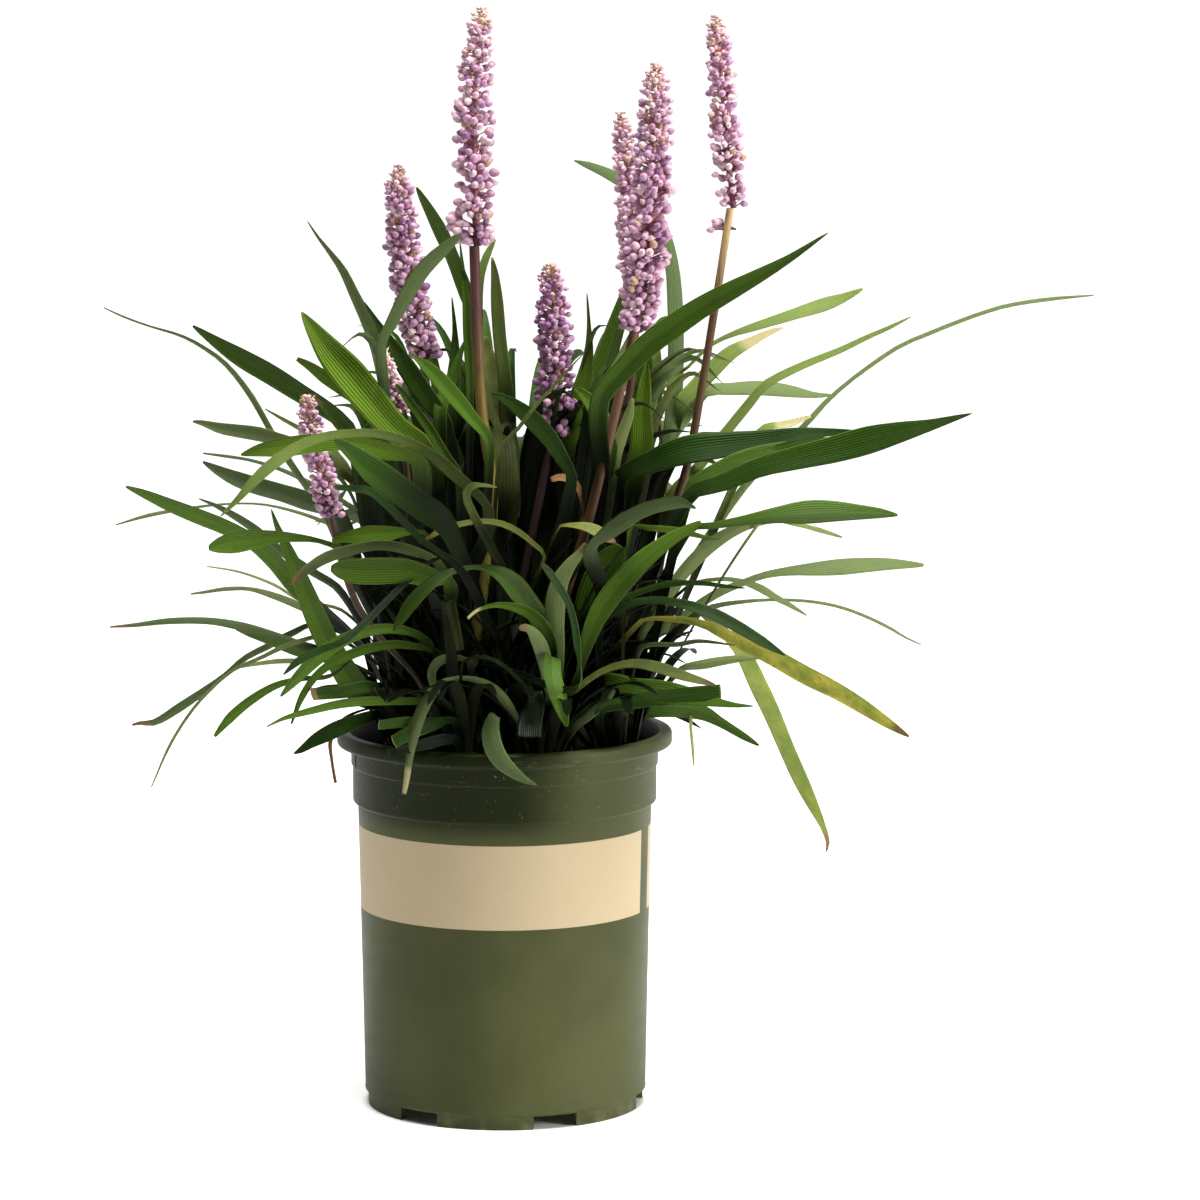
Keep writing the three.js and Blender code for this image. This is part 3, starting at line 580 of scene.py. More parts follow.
def sections_from_tip(tuft, stock):
    """The tip and the three-cornered sections of each leaf of a tuft's solid."""
    solid = bmesh.new()
    solid.from_mesh(nodes[tuft].data)
    bmesh.ops.remove_doubles(solid, verts=solid.verts, dist=3e-6)
    leaves = []
    for tip in solid.verts:
        out = math.hypot(tip.co.x - stock.x, tip.co.y - stock.y)
        if len(tip.link_edges) != 3 or out < stock_reach and tip.co.z < stock_top:
            continue
        ring = {edge.other_vert(tip) for edge in tip.link_edges}
        met = {tip}
        rings = []
        while len(ring) == 3 and len(rings) < len(leaf_stations):
            met |= ring
            rings.append([corner_point.co.copy() for corner_point in ring])
            ring = {edge.other_vert(corner_point) for corner_point in ring
                    for edge in corner_point.link_edges} - met
        leaves.append((tip.co.copy(), rings))
    solid.free()
    return leaves


def section_frame(corners, like):
    """A section's middle, half its width as a vector, and the way its upper face looks."""
    spans = [(corners[i - 1] - corners[i - 2]).length for i in range(3)]
    keel = spans.index(max(spans))
    left, right = corners[keel - 1], corners[keel - 2]
    middle = (left + right) / 2
    half = (right - left) / 2
    if half.dot(like) < 0:
        half = -half
    up = middle - corners[keel]
    up -= half * (up.dot(half) / half.length_squared)
    return middle, half, up.normalized()


def leaf_foot(stock, toward):
    """Where a leaf stands on its stock, and how far out of the middle that is."""
    away = Vector((toward.x - stock.x, toward.y - stock.y, 0))
    foot_out = away.normalized() * min(foot_circle, away.length)
    return Vector((stock.x, stock.y, stock_height)) + foot_out, foot_out


def eased(knots, values, at):
    """A smooth curve through values at uneven knots."""
    last = len(knots) - 1
    i = max(0, min(last - 1, sum(knot <= at for knot in knots) - 1))

    def slope(k):
        low, high = max(0, k - 1), min(last, k + 1)
        return (values[high] - values[low]) / (knots[high] - knots[low])

    gap = knots[i + 1] - knots[i]
    t = (at - knots[i]) / gap
    return (values[i] * (2 * t ** 3 - 3 * t ** 2 + 1)
            + slope(i) * (gap * (t ** 3 - 2 * t ** 2 + t))
            + values[i + 1] * (3 * t ** 2 - 2 * t ** 3)
            + slope(i + 1) * (gap * (t ** 3 - t ** 2)))


blade_thick = 0.5 * MM
least_half_width = 0.12 * MM
channel_depth = 0.28
foot_fold = 0.4
folded_part = 0.3
ripple_height = 0.035
ripples = 17


def lay_leaf(master, name, course, tip, chance, tip_width=None):
    """A copy of a master leaf laid over a course from foot to tip: middles of sections, half
    widths and the ways their upper faces look, at knots from 0 towards 1."""
    knots, middles, halves, ups = course
    end_share = halves[-1].length / halves[-2].length
    widths = [half.length for half in halves]
    middle_run = middles[-1] - middles[-2]
    turned = -1 if halves[-1].cross(middle_run).dot(ups[-1]) < 0 else 1
    across = [half.normalized() * turned for half in halves]
    last_knot = knots[-1]
    knots_to_tip = [*knots, 1]
    middles_to_tip = [*middles, tip]
    sway = chance.uniform(0, 6)
    shade = chance.random()
    leaf = copied(master, name)
    stations = {}
    place = []
    for vertex in leaf.data.vertices:
        x, y, z = vertex.co
        along = 1 - (1 - y) ** 1.25
        if along not in stations:
            middle = eased(knots_to_tip, middles_to_tip, along)
            ahead = eased(knots_to_tip, middles_to_tip, min(1, along + 0.01))
            behind = eased(knots_to_tip, middles_to_tip, max(0, along - 0.01))
            run = (ahead - behind).normalized()
            side = eased(knots, across, min(along, last_knot))
            side = (side - run * side.dot(run)).normalized()
            face = side.cross(run)
            width = eased(knots, widths, min(along, last_knot))
            if along > last_knot:
                left = (1 - along) / (1 - last_knot)
                if tip_width is not None:
                    width = tip_width + (width - tip_width) * left ** 0.8
                elif end_share > 0.62:
                    width *= math.sqrt(max(0, 1 - (1 - left) ** 2))
                else:
                    width *= left ** 0.85
            stations[along] = middle, side, face, max(width, least_half_width)
        middle, side, face, width = stations[along]
        folded = 1 - min(1, along / folded_part)
        crease = width * (channel_depth + foot_fold * folded ** 2) * (1 - 0.4 * along)
        ripple = ripple_height * width * math.sin(ripples * along + sway) * x * abs(x)
        lift = -crease * (1 - abs(x) ** 1.25) + ripple
        if z < 0:
            lift -= blade_thick * (1 - 0.6 * abs(x)) * (1 - 0.5 * along)
        vertex.co = middle + side * (width * x * (1 - 0.25 * folded)) + face * lift
        place.append((x / 2 + 0.5, along, shade, 1 if z < 0 else 0))
    tell(leaf, "leaf_place", place)
    return leaf


def solid_course(tip, rings, stock):
    """The course of one blade of the tuft's solid, from its foot on the stock."""
    outward = tip - stock
    like = Vector((1, 0, 0)) if abs(outward.x) < abs(outward.y) else Vector((0, 1, 0))
    knots, middles, halves, ups = [], [], [], []
    for station, corners in zip(leaf_stations, rings):
        middle, half, up = section_frame(corners, like)
        knots.insert(0, station)
        middles.insert(0, middle)
        halves.insert(0, half)
        ups.insert(0, up)
        like = half
    foot, foot_out = leaf_foot(stock, middles[0])
    if knots[0] > 0.2:
        rise = foot + Vector((0, 0, foot_rise)) + foot_out * 0.4
        knots.insert(0, 0.12)
        middles.insert(0, rise)
        halves.insert(0, halves[0] * 0.55)
        ups.insert(0, ups[0])
    return ([0, *knots], [foot, *middles], [halves[0] * 0.62, *halves], [ups[0], *ups])


# How the eye of the camera sees a point: across and up, in millimetres, on a board that
# stands square to the gaze. The routes below are points of a frame of 0.5 mm steps on it.
eye = Vector((0.04783, -2.6264, 0.6081))
gaze_down = math.radians(7.66)
gaze = Vector((0, math.cos(gaze_down), -math.sin(gaze_down)))
board_up = Vector((0, math.sin(gaze_down), math.cos(gaze_down)))
board_reach = 2.65
board_foot, board_rise = 255.6, 0.986
middle_column, floor_row, frame_step, row_step = 504.5, 1104, 0.5, 0.507


def seen(point):
    sight = point - eye
    sight *= board_reach / sight.dot(gaze)
    return Vector(((eye.x + sight.x) / MM,
                   sight.dot(board_up) / MM / board_rise + board_foot))


def on_board(column, row):
    return Vector(((column - middle_column) * frame_step, (floor_row - row) * row_step))


def behind_board(spot, depth):
    """The point that is seen at a spot of the board and lies at a depth along Y."""
    sight = (gaze * board_reach + board_up * ((spot.y - board_foot) * board_rise * MM)
             + Vector((spot.x * MM - eye.x, 0, 0)))
    return eye + sight * ((depth - eye.y) / sight.y)


def square_to(run, sight, like):
    """The way across a leaf whose face is turned square to the eye, on the side it was."""
    square = run.cross(sight).normalized()
    return -square if square.dot(like) < 0 else square


def read_route(text):
    """The spots of a route on the board and how wide the leaf looks there, in metres."""
    steps = [[float(value) for value in step.split(",")] for step in text.split()]
    return ([on_board(column, row) for column, row, _ in steps],
            [wide * frame_step * MM for _, _, wide in steps])


def drawn_course(spots, wides, depths, low, twist, from_below):
    """The course of a leaf along its route, over the low part that stands before it."""
    points = [behind_board(spot, depth) for spot, depth in zip(spots, depths)]
    low_middles, low_halves, low_ups = low
    chain = [*low_middles, *points]
    reach = [0]
    for point, next_point in zip(chain, chain[1:]):
        reach.append(reach[-1] + (next_point - point).length)
    knots = [length / reach[-1] for length in reach]
    halves = []
    last = low_halves[-1]
    slimmer = min(1, wides[0] / 2 / last.length)
    low_halves = [half * slimmer for half in low_halves]
    for i, wide in enumerate(wides):
        here = i + len(low_middles)
        run = (chain[min(here + 1, len(chain) - 1)] - chain[here - 1]).normalized()
        sight = (chain[here] - eye).normalized()
        square = square_to(run, sight, last)
        last = square
        deep = square.cross(run).normalized()
        if deep.dot(sight) < 0:
            deep = -deep
        nearer = (chain[here] - eye).dot(gaze) / board_reach
        shown = math.cos(twist)
        half = square * shown + deep * math.sin(twist)
        halves.append(half * (wide * nearer / 2 / shown))
    facing = (chain[-2] - eye) * (1 if from_below else -1)
    course = (knots[:-1], chain[:-1], [*low_halves, *halves[:-1]],
              [*low_ups, *[facing] * (len(points) - 1)])
    return course, points[-1], halves[-1].length, knots[len(low_middles)]


# The heart of the clump as it's seen: its middle and half its width, and how high it goes.
heart_column = 12
heart_half_width = 118
heart_top = 372
# Leaves in front of the heart lean back to a depth, but no further than a limit, and those
# that reach furthest to the front stay.
front_edge = -128 * MM
leaned_depth = 25 * MM
least_lean = 15 * MM
lean_limit = 95 * MM
opening = 0.45
slimming = 0.7


def set_back(solid, tip):
    """The course of a leaf that has no route: it opens to the front, and where it would
    stand before the leaves that are seen whole, it leans back between them, and is slimmer."""
    knots, middles, halves, ups = solid
    chain = [*middles, tip]
    opened = []
    for i, half in enumerate(halves):
        square = square_to(chain[i + 1] - chain[max(0, i - 1)], middles[i] - eye, half)
        opened.append((half.normalized() * opening + square).normalized() * half.length)
    shown = seen(middles[-2])
    far = leaned_depth - middles[-2].y
    beside = abs(shown.x - heart_column) > heart_half_width or shown.y > heart_top
    if tip.y < front_edge or far < least_lean or beside:
        return (knots, middles, opened, ups), tip

    def leaned(point, knot):
        return point + (point - eye).normalized() * (min(lean_limit, far) * min(1, knot / 0.4))

    middles = [leaned(point, knot) for point, knot in zip(middles, knots)]
    return (knots, middles, [half * slimming for half in opened], ups), leaned(tip, 1)


def low_part(solid, start):
    """The foot and the sections of a solid's course below a share of its length. Above the
    foot they stand a little further back, behind the scapes."""
    knots, middles, halves, ups = solid
    behind_scapes = 16 * MM
    kept = [i for i, knot in enumerate(knots) if i == 0 or knot < start - 0.1]
    placed = [middles[i] + (middles[i] - eye).normalized() * (behind_scapes * (i > 0))
              for i in kept]
    return placed, [halves[i] for i in kept], [ups[i] for i in kept]


def lay_on_route(name, tip, solid, route, from_below, chance):
    """A leaf that keeps the depth of its solid and follows its own route across the view."""
    spots, wides = read_route(route)
    knots, middles, halves, _ = solid
    steps = 80
    trail = [eased([*knots, 1], [*middles, tip], 1 - i / steps) for i in range(steps + 1)]
    trail_reach = [0]
    for point, next_point in zip(trail, trail[1:]):
        trail_reach.append(trail_reach[-1] + (seen(next_point) - seen(point)).length)
    route_reach = [0]
    for spot, next_spot in zip(spots[::-1], spots[-2::-1]):
        route_reach.insert(0, route_reach[0] + (next_spot - spot).length)
    depths = []
    for reach in route_reach:
        after = min(steps, sum(length < reach for length in trail_reach))
        depths.append(trail[after].y)
    start = 1 - min(steps, sum(length < route_reach[0] for length in trail_reach)) / steps
    half = halves[-2]
    run = (tip - middles[-3]).normalized()
    sight = (middles[-2] - eye).normalized()
    square = square_to(run, sight, half)
    deep = square.cross(run).normalized()
    twist = math.atan2(half.dot(deep), half.dot(square) + 1e-9)
    most_twist = 0.72
    twist = max(-most_twist, min(most_twist, twist))
    course, end, tip_width, start = drawn_course(
        spots, wides, depths, low_part(solid, start), twist, from_below)
    end += (course[1][-1] - end).normalized() * 0.6 * MM
    return lay_leaf(master_leaf, name, course, end, chance, tip_width), start


def lay_free(name, stock, near_depth, tip_depth, route, from_below, chance):
    """A leaf with no solid of its own, along its route, between two depths."""
    spots, wides = read_route(route)
    shares = [i / (len(spots) - 1) for i in range(len(spots))]
    depths = [(near_depth + (tip_depth - near_depth) * share) * MM for share in shares]
    foot, foot_out = leaf_foot(stock, behind_board(spots[0], depths[0]))
    half = foot_out.normalized().cross(Vector((0, 0, 1))) * (wides[0] * 0.4)
    if half.x < 0:
        half = -half
    up = Vector((0, -0.5, 0.85))
    course, end, tip_width, start = drawn_course(
        spots, wides, depths, ([foot], [half], [up]), chance.uniform(-0.5, 0.5), from_below)
    return lay_leaf(master_leaf, name, course, end, chance, tip_width), start


# Young and inner leaves stand among the long ones, short and narrow: how many a tuft has,
# near the middle of the pot and near its wall, and how long, wide and bent they are.
inner_tufts = 6
inner_short, outer_short = 12, 15
short_lengths = (80, 190)
short_widths = (4.5, 8.5)
short_lifts_deg = (66, 88)
short_droops_deg = (35, 120)
# Where their tips may be seen: an oval on the board, and behind a depth or low down.
tips_middle = (12, 235)
tips_reach = (84, 112)
tips_depth = -45 * MM
tips_low = 208


def arch_leaf(name, stock, chance):
    """A short leaf that rises from the stock and bends over by its own weight."""
    away = Vector((stock.x, stock.y, 0))
    while True:
        heading = math.atan2(away.y, away.x) + chance.gauss(0, 0.75)
        if away.length < 5 * MM:
            heading = chance.uniform(0, 2 * math.pi)
        length = chance.uniform(*short_lengths) * MM
        width = chance.uniform(*short_widths) * MM
        lift = math.radians(chance.uniform(*short_lifts_deg))
        droop = math.radians(chance.uniform(*short_droops_deg))
        turn = chance.gauss(0, 0.35)
        out = Vector((math.cos(heading), math.sin(heading), 0))
        point = Vector((stock.x, stock.y, stock_height)) + out * chance.uniform(1, 6) * MM
        steps = 8
        knots, middles, halves, ups = [], [], [], []
        for i in range(steps):
            share = i / steps
            bend = lift - droop * share ** 1.6
            out = Vector((math.cos(heading + turn * share), math.sin(heading + turn * share), 0))
            run = out * math.cos(bend) + Vector((0, 0, math.sin(bend)))
            side = Vector((out.y, -out.x, 0))
            swell = 0.45 + 0.55 * math.sin(min(1, share / 0.55) * math.pi / 2)
            taper = 1 - max(0, (share - 0.6) / 0.4) ** 2 * 0.75
            knots.append(share)
            middles.append(point.copy())
            halves.append(side * (width / 2 * swell * taper))
            ups.append(side.cross(run))
            point += run * (length / steps)
        shown = seen(point)
        off = [(shown[i] - tips_middle[i]) / tips_reach[i] for i in range(2)]
        if (point.y > tips_depth or shown.y < tips_low) and math.hypot(*off) < 1:
            return lay_leaf(short_master, name, (knots, middles, halves, ups), point, chance)


# What the leaves look like: how bright and young, how grey, how yellow and how dead. The brightness
# is partly each leaf's own green and partly painted light and shade, higher for leaves that stand
# in the light and lower for those in shade; the grey is partly the paler underside and partly a
# painted sheen.
leaf_tones = {
    "deep": (0.0, 0.05, 0.0, 0.0), "dark": (0.14, 0.05, 0.0, 0.0),
    "mid": (0.4, 0.05, 0.0, 0.0), "fresh": (0.66, 0.05, 0.0, 0.0),
    "bright": (0.84, 0.0, 0.05, 0.0), "slate": (0.2, 0.6, 0.0, 0.0),
    "grey": (0.45, 0.85, 0.04, 0.0), "pale": (0.84, 0.9, 0.18, 0.0),
    "light": (0.9, 0.42, 0.12, 0.0), "olive": (0.38, 0.45, 0.24, 0.0),
    "straw": (1.0, 0.2, 1.0, 0.0), "sallow": (0.75, 0.5, 0.4, 0.0),
    "dead": (0.4, 0.2, 0.4, 1.0),
}
# Painted shade: how much a leaf is painted darker in the heart of the clump, by the second word of
# its tone; gone is all but black.
painted_leaf_shades = {"": 0.0, "dim": 0.4, "dusk": 0.7, "gone": 0.92}
# A leaf greyer than this is seen from below.
shows_below = 0.5
# What the leaf's end looks like: the share of its length, then from brown to cream.
leaf_ends = {"": (0.0, 0.0), "brown": (0.05, 0.15), "pale": (0.1, 0.85),
             "cream": (0.07, 1.0), "cut": (0.008, 0.75)}

# The routes of the leaves that are seen whole, up to the tip, as points of the frame: the
# column, the row, and how many steps wide the leaf looks. Each has a tone and an end, and
# where the solid's tip is when it is elsewhere.
leaf_routes = [
    ("grey", "",
     "335,536,6 312,495,6 290,462,7 273,434,6 250,394,6 225,363,5 200,345,4 180,335,3 "
     "150,326,2 125,317,2 103,307,1"),
    ("mid", "",
     "350,430,14 330,412,17 300,393,19 270,374,20 240,357,18 215,341,11 192,325,2"),
    ("grey", "",
     "300,447,12 282,440,12 260,434,14 240,431,13 220,428,11 203,423,6 192,421,2"),
    ("bright", "",
     "370,410,14 345,390,14 325,377,13 310,366,9 296,358,4"),
    ("bright", "",
     "425,452,24 395,428,29 368,397,34 348,373,35 330,352,28 314,330,16 301,311,2"),
    ("grey", "",
     "378,348,15 368,322,13 355,295,10 343,270,8 330,252,5 319,238,3 307,220,1"),
    ("dark", "",
     "445,425,16 425,395,20 405,365,19 390,342,12 377,322,6 364,301,1"),
    ("slate", "",
     "381,346,10 392,322,12 405,298,15 421,272,16 438,254,14 455,239,8 462,232,2"),
    ("fresh", "",
     "475,320,14 465,290,15 452,256,14 441,232,15 430,211,11 422,197,7 416,186,2"),
    ("light", "",
     "480,300,6 481,275,8 487,255,8 496,238,2"),
    ("light", "",
     "505,380,14 500,340,13 497,300,12 495,275,8 492,256,2"),
    ("dark", "",
     "453,400,16 455,360,11 455,330,5 452,296,1"),
    ("olive dusk", "",
     "505,470,30 498,420,32 490,375,24 484,335,8"),
    ("pale", "",
     "330,445,6 305,431,5 285,420,4 264,408,1"),
    ("bright", "",
     "420,463,18 380,450,18 345,442,17 315,443,19 285,447,20 260,450,13 240,455,2"),
    ("light dusk", "",
     "490,515,12 455,475,13 420,448,11 380,434,9 340,434,9 310,441,10 285,455,12 260,475,11 "
     "238,499,6 220,517,1"),
    ("slate", "",
     "367,522,5 340,500,6 310,483,5 280,469,4 250,460,3 225,456,3 202,453,1.5"),
    ("slate", "",
     "335,512,20 305,500,19 280,492,17 255,485,17 235,478,15 218,470,10 202,461,2"),
    ("fresh", "",
     "300,592,16 275,562,17 250,540,15 225,527,15 200,517,15 170,505,13 145,494,9 125,486,2"),
    ("slate", "",
     "340,590,8 310,570,8 280,550,9 255,529,9 232,514,7 215,505,4 198,498,1"),
    ("grey", "",
     "350,535,4 320,520,4 290,510,3 260,504,2 225,504,2 190,508,3 150,515,4 115,525,1"),
    ("fresh", "",
     "345,552,7 320,541,5 300,538,8 275,537,13 250,540,20 235,542,22 220,545,16 208,548,5"),
    ("fresh", "",
     "362,694,26 331,648,23 316,617,22 302,583,18 289,552,12 278,528,6 271,508,1"),
    ("pale", "",
     "345,612,3 300,600,3 275,585,3 240,572,2 206,566,1"),
    ("grey", "",
     "330,620,8 300,606,8 275,596,7 250,589,4 225,589,4 205,592,3 190,594,1.5"),
    ("slate", "brown",
     "330,655,8 295,643,8 265,633,9 240,626,9 210,621,7 170,621,6 135,625,4 109,627,1.5"),
    ("mid", "brown",
     "320,656,11 295,650,11 270,640,10 250,633,8 235,628,3"),
    ("grey dim", "brown",
     "440,565,10 410,550,11 380,545,10 350,550,11 325,558,11 305,571,9 289,585,2"),
    ("bright", "",
     "425,533,4 405,532,8 385,534,16 365,535,18 348,537,12 331,541,3"),
    ("fresh dim", "",
     "450,583,14 430,577,20 405,571,25 380,571,27 355,571,25 340,569,18 330,568,6"),
    ("fresh dusk", "",
     "541,625,16 530,604,20 515,586,22 499,573,14 480,567,5 460,569,6 443,575,9 425,588,13 "
     "410,605,13 400,621,9 393,632,1"),
    ("sallow dusk", "brown",
     "545,556,3 533,543,5 518,531,6 500,523,6 480,521,5 460,524,6 443,529,7 430,537,4 "
     "418,543,1"),
    ("sallow dim", "brown",
     "560,526,2 572,525,5 585,526,9 598,531,12 608,538,10 617,543,1.5"),
    ("dead", "",
     "583,515,3 581,500,3 578,486,6 570,479,8 560,477,7 550,480,5"),
    ("fresh", "cream",
     "552,650,12 545,630,13 533,616,12 517,608,9 497,605,5 478,610,3 467,619,3",
     "472,610,3"),
    ("grey dim", "brown",
     "552,700,12 547,670,14 541,648,15 533,634,12 526,628,8 518,629,3"),
    ("grey", "brown",
     "559,668,10 558,645,14 555,622,19 556,600,20 561,580,17 570,565,13 580,553,8 586,542,3"),
    ("mid", "",
     "553,655,14 553,675,18 558,695,17 563,712,12 567,727,3"),
    ("mid", "",
     "583,625,24 592,600,32 602,578,36 612,560,30 622,545,10"),
    ("fresh", "",
     "578,675,6 586,645,14 598,615,20 615,590,22 640,563,20 665,543,15 690,528,9 702,521,3"),
    ("fresh", "",
     "612,450,12 606,430,16 598,411,18 588,399,14 580,391,8 574,387,2"),
    ("dark", "",
     "572,480,12 562,458,14 548,436,17 532,419,18 515,405,13 500,396,7 491,393,2"),
    ("fresh", "",
     "565,450,20 574,415,22 584,380,16 589,350,9 589,325,4 587,292,1"),
    ("mid", "",
     "580,420,26 590,395,24 605,360,22 618,320,17 630,285,12 637,262,6 641,245,1",
     "632,265,1"),
    ("slate dim", "",
     "668,440,14 674,400,16 676,350,16 675,300,16 672,265,14 664,232,12 650,208,12 "
     "625,183,13 605,172,10 588,165,7 573,160,1"),
    ("mid", "",
     "600,400,20 625,368,22 650,343,24 675,325,24 700,308,22 730,291,19 760,275,14 790,258,8 "
     "829,232,1"),
    ("light", "",
     "660,395,3 690,365,3 710,345,4 730,335,5 750,328,8 775,320,10 800,312,12 825,304,14 "
     "845,297,9 864,288,2"),
    ("light", "pale",
     "680,405,14 695,388,16 712,370,16 730,353,14 750,342,10 770,332,6 784,327,2"),
    ("light", "",
     "668,500,9 700,465,10 712,449,10 730,427,10 747,406,10 765,385,9 790,371,8 815,360,7 "
     "840,350,6 865,338,5 890,327,4 912,316,1"),
    ("grey", "",
     "666,606,8 690,565,8 720,520,8 750,480,7 775,455,7 790,440,6 808,422,6 825,403,5 "
     "845,385,4 870,366,4 900,346,4 930,333,4 960,321,4 985,312,4 1010,305,4 1050,299,4 "
     "1095,295,1"),
    ("grey", "",
     "704,392,12 730,389,12 760,388,14 790,391,12 815,395,6 833,395,2"),
    ("dark", "",
     "690,495,14 725,482,18 760,467,20 800,457,24 835,449,27 868,440,28 900,432,21 "
     "930,425,12 955,418,6 973,413,1"),
    ("deep", "",
     "620,478,14 650,462,22 685,450,28 720,445,26 760,440,20 800,434,14 830,432,8 858,431,2"),
    ("mid", "",
     "690,530,6 716,525,7 745,520,10 775,515,16 805,512,24 830,511,22 860,512,15 880,513,10 "
     "899,515,2"),
    ("grey", "",
     "640,645,12 680,620,10 700,604,9 720,592,9 745,582,7 765,575,7 790,571,9 815,569,13 "
     "840,567,16 865,565,15 890,564,12 925,565,3"),
    ("grey", "",
     "700,612,5 715,606,5 740,602,4 765,600,3 790,600,3 815,602,3 840,607,3 865,616,3 "
     "890,628,3 905,637,2 922,645,1"),
    ("grey", "",
     "690,585,3 720,579,4 740,581,5 760,588,8 775,597,7 790,605,5 808,616,1"),
    ("straw", "brown",
     "640,622,5 670,619,6 700,623,8 722,633,11 748,645,15 775,658,17 805,675,18 835,690,17 "
     "862,706,15 885,721,11 910,737,2"),
    ("olive", "brown",
     "700,612,8 718,626,10 733,641,11 745,656,15 760,688,18 767,702,18 778,727,17 788,751,16 "
     "801,780,15 813,805,11 823,826,6 828,842,4 826,853,1"),
    ("mid", "",
     "600,685,16 630,687,20 660,691,22 690,697,18 715,702,10 735,705,5 754,706,1"),
    ("olive dim", "brown",
     "575,690,6 592,677,6 612,667,7 635,663,9 658,667,11 682,675,10 702,681,7 716,685,2"),
    ("mid", "",
     "575,725,8 620,715,14 660,708,18 700,712,16 720,722,10 745,737,7 760,746,2"),
    ("grey", "",
     "563,745,8 575,725,10 590,713,12 605,700,11 616,689,3"),
    ("grey", "",
     "470,662,7 450,658,8 438,662,10 432,672,9 433,683,8 438,692,6 444,698,2"),
    ("mid", "",
     "330,676,4 300,679,5 275,686,7 250,701,9 230,718,10 214,737,3"),
    ("slate", "brown",
     "317,624,5 290,634,7 270,645,7 245,658,6 225,675,5 205,690,7 180,707,9 155,722,7 "
     "140,723,4 131,725,2"),
    ("grey", "",
     "330,636,4 290,644,5 260,658,4 235,669,3 210,690,3 190,713,3 170,745,3 151,788,1"),
    ("mid", "",
     "425,640,9 395,629,10 365,632,11 338,643,13 315,660,14 297,678,11 280,697,2"),
    ("mid", "",
     "440,655,8 405,645,8 375,647,9 345,657,10 320,672,8 303,695,7 291,725,1.5"),
    ("fresh", "brown",
     "430,703,8 400,701,8 370,701,9 340,704,9 310,711,7 285,718,4 266,727,1"),
    ("deep", "",
     "375,715,10 355,722,14 335,730,16 315,740,12 302,749,7 293,754,1"),
    ("dark", "cut",
     "400,706,8 360,708,9 322,714,8", "290,725,8"),
    ("dead", "",
     "345,718,3 331,740,4 332,760,3 336,784,3"),
    ("pale", "",
     "690,715,3 691,730,3 693,750,3 694,767,1"),
    ("dark gone", "",
     "450,530,20 420,505,26 390,483,28 365,465,24 348,450,14 335,441,4",
     "372,593,1"),
    ("deep", "",
     "574,690,6 577,645,7 571,610,7 560,588,8 548,570,7 541,561,1",
     "596,585,1"),
    ("olive", "",
     "500,450,4 517,430,4 532,410,4 550,390,3 568,370,2 583,354,1",
     "510,591,1"),
    ("light dim", "",
     "467,500,8 470,488,7 480,485,4 497,487,1",
     "562,552,1"),
    ("deep dim", "",
     "345,640,8 320,650,8 300,660,8 283,675,1",
     "358,591,1"),
    ("deep dusk", "cut",
     "372,492,7 350,488,6 333,487,5",
     "371,593,1"),
    ("slate dim", "",
     "590,550,14 612,530,16 635,514,15 660,505,14 682,502,11 697,508,2",
     "672,545,1"),
]
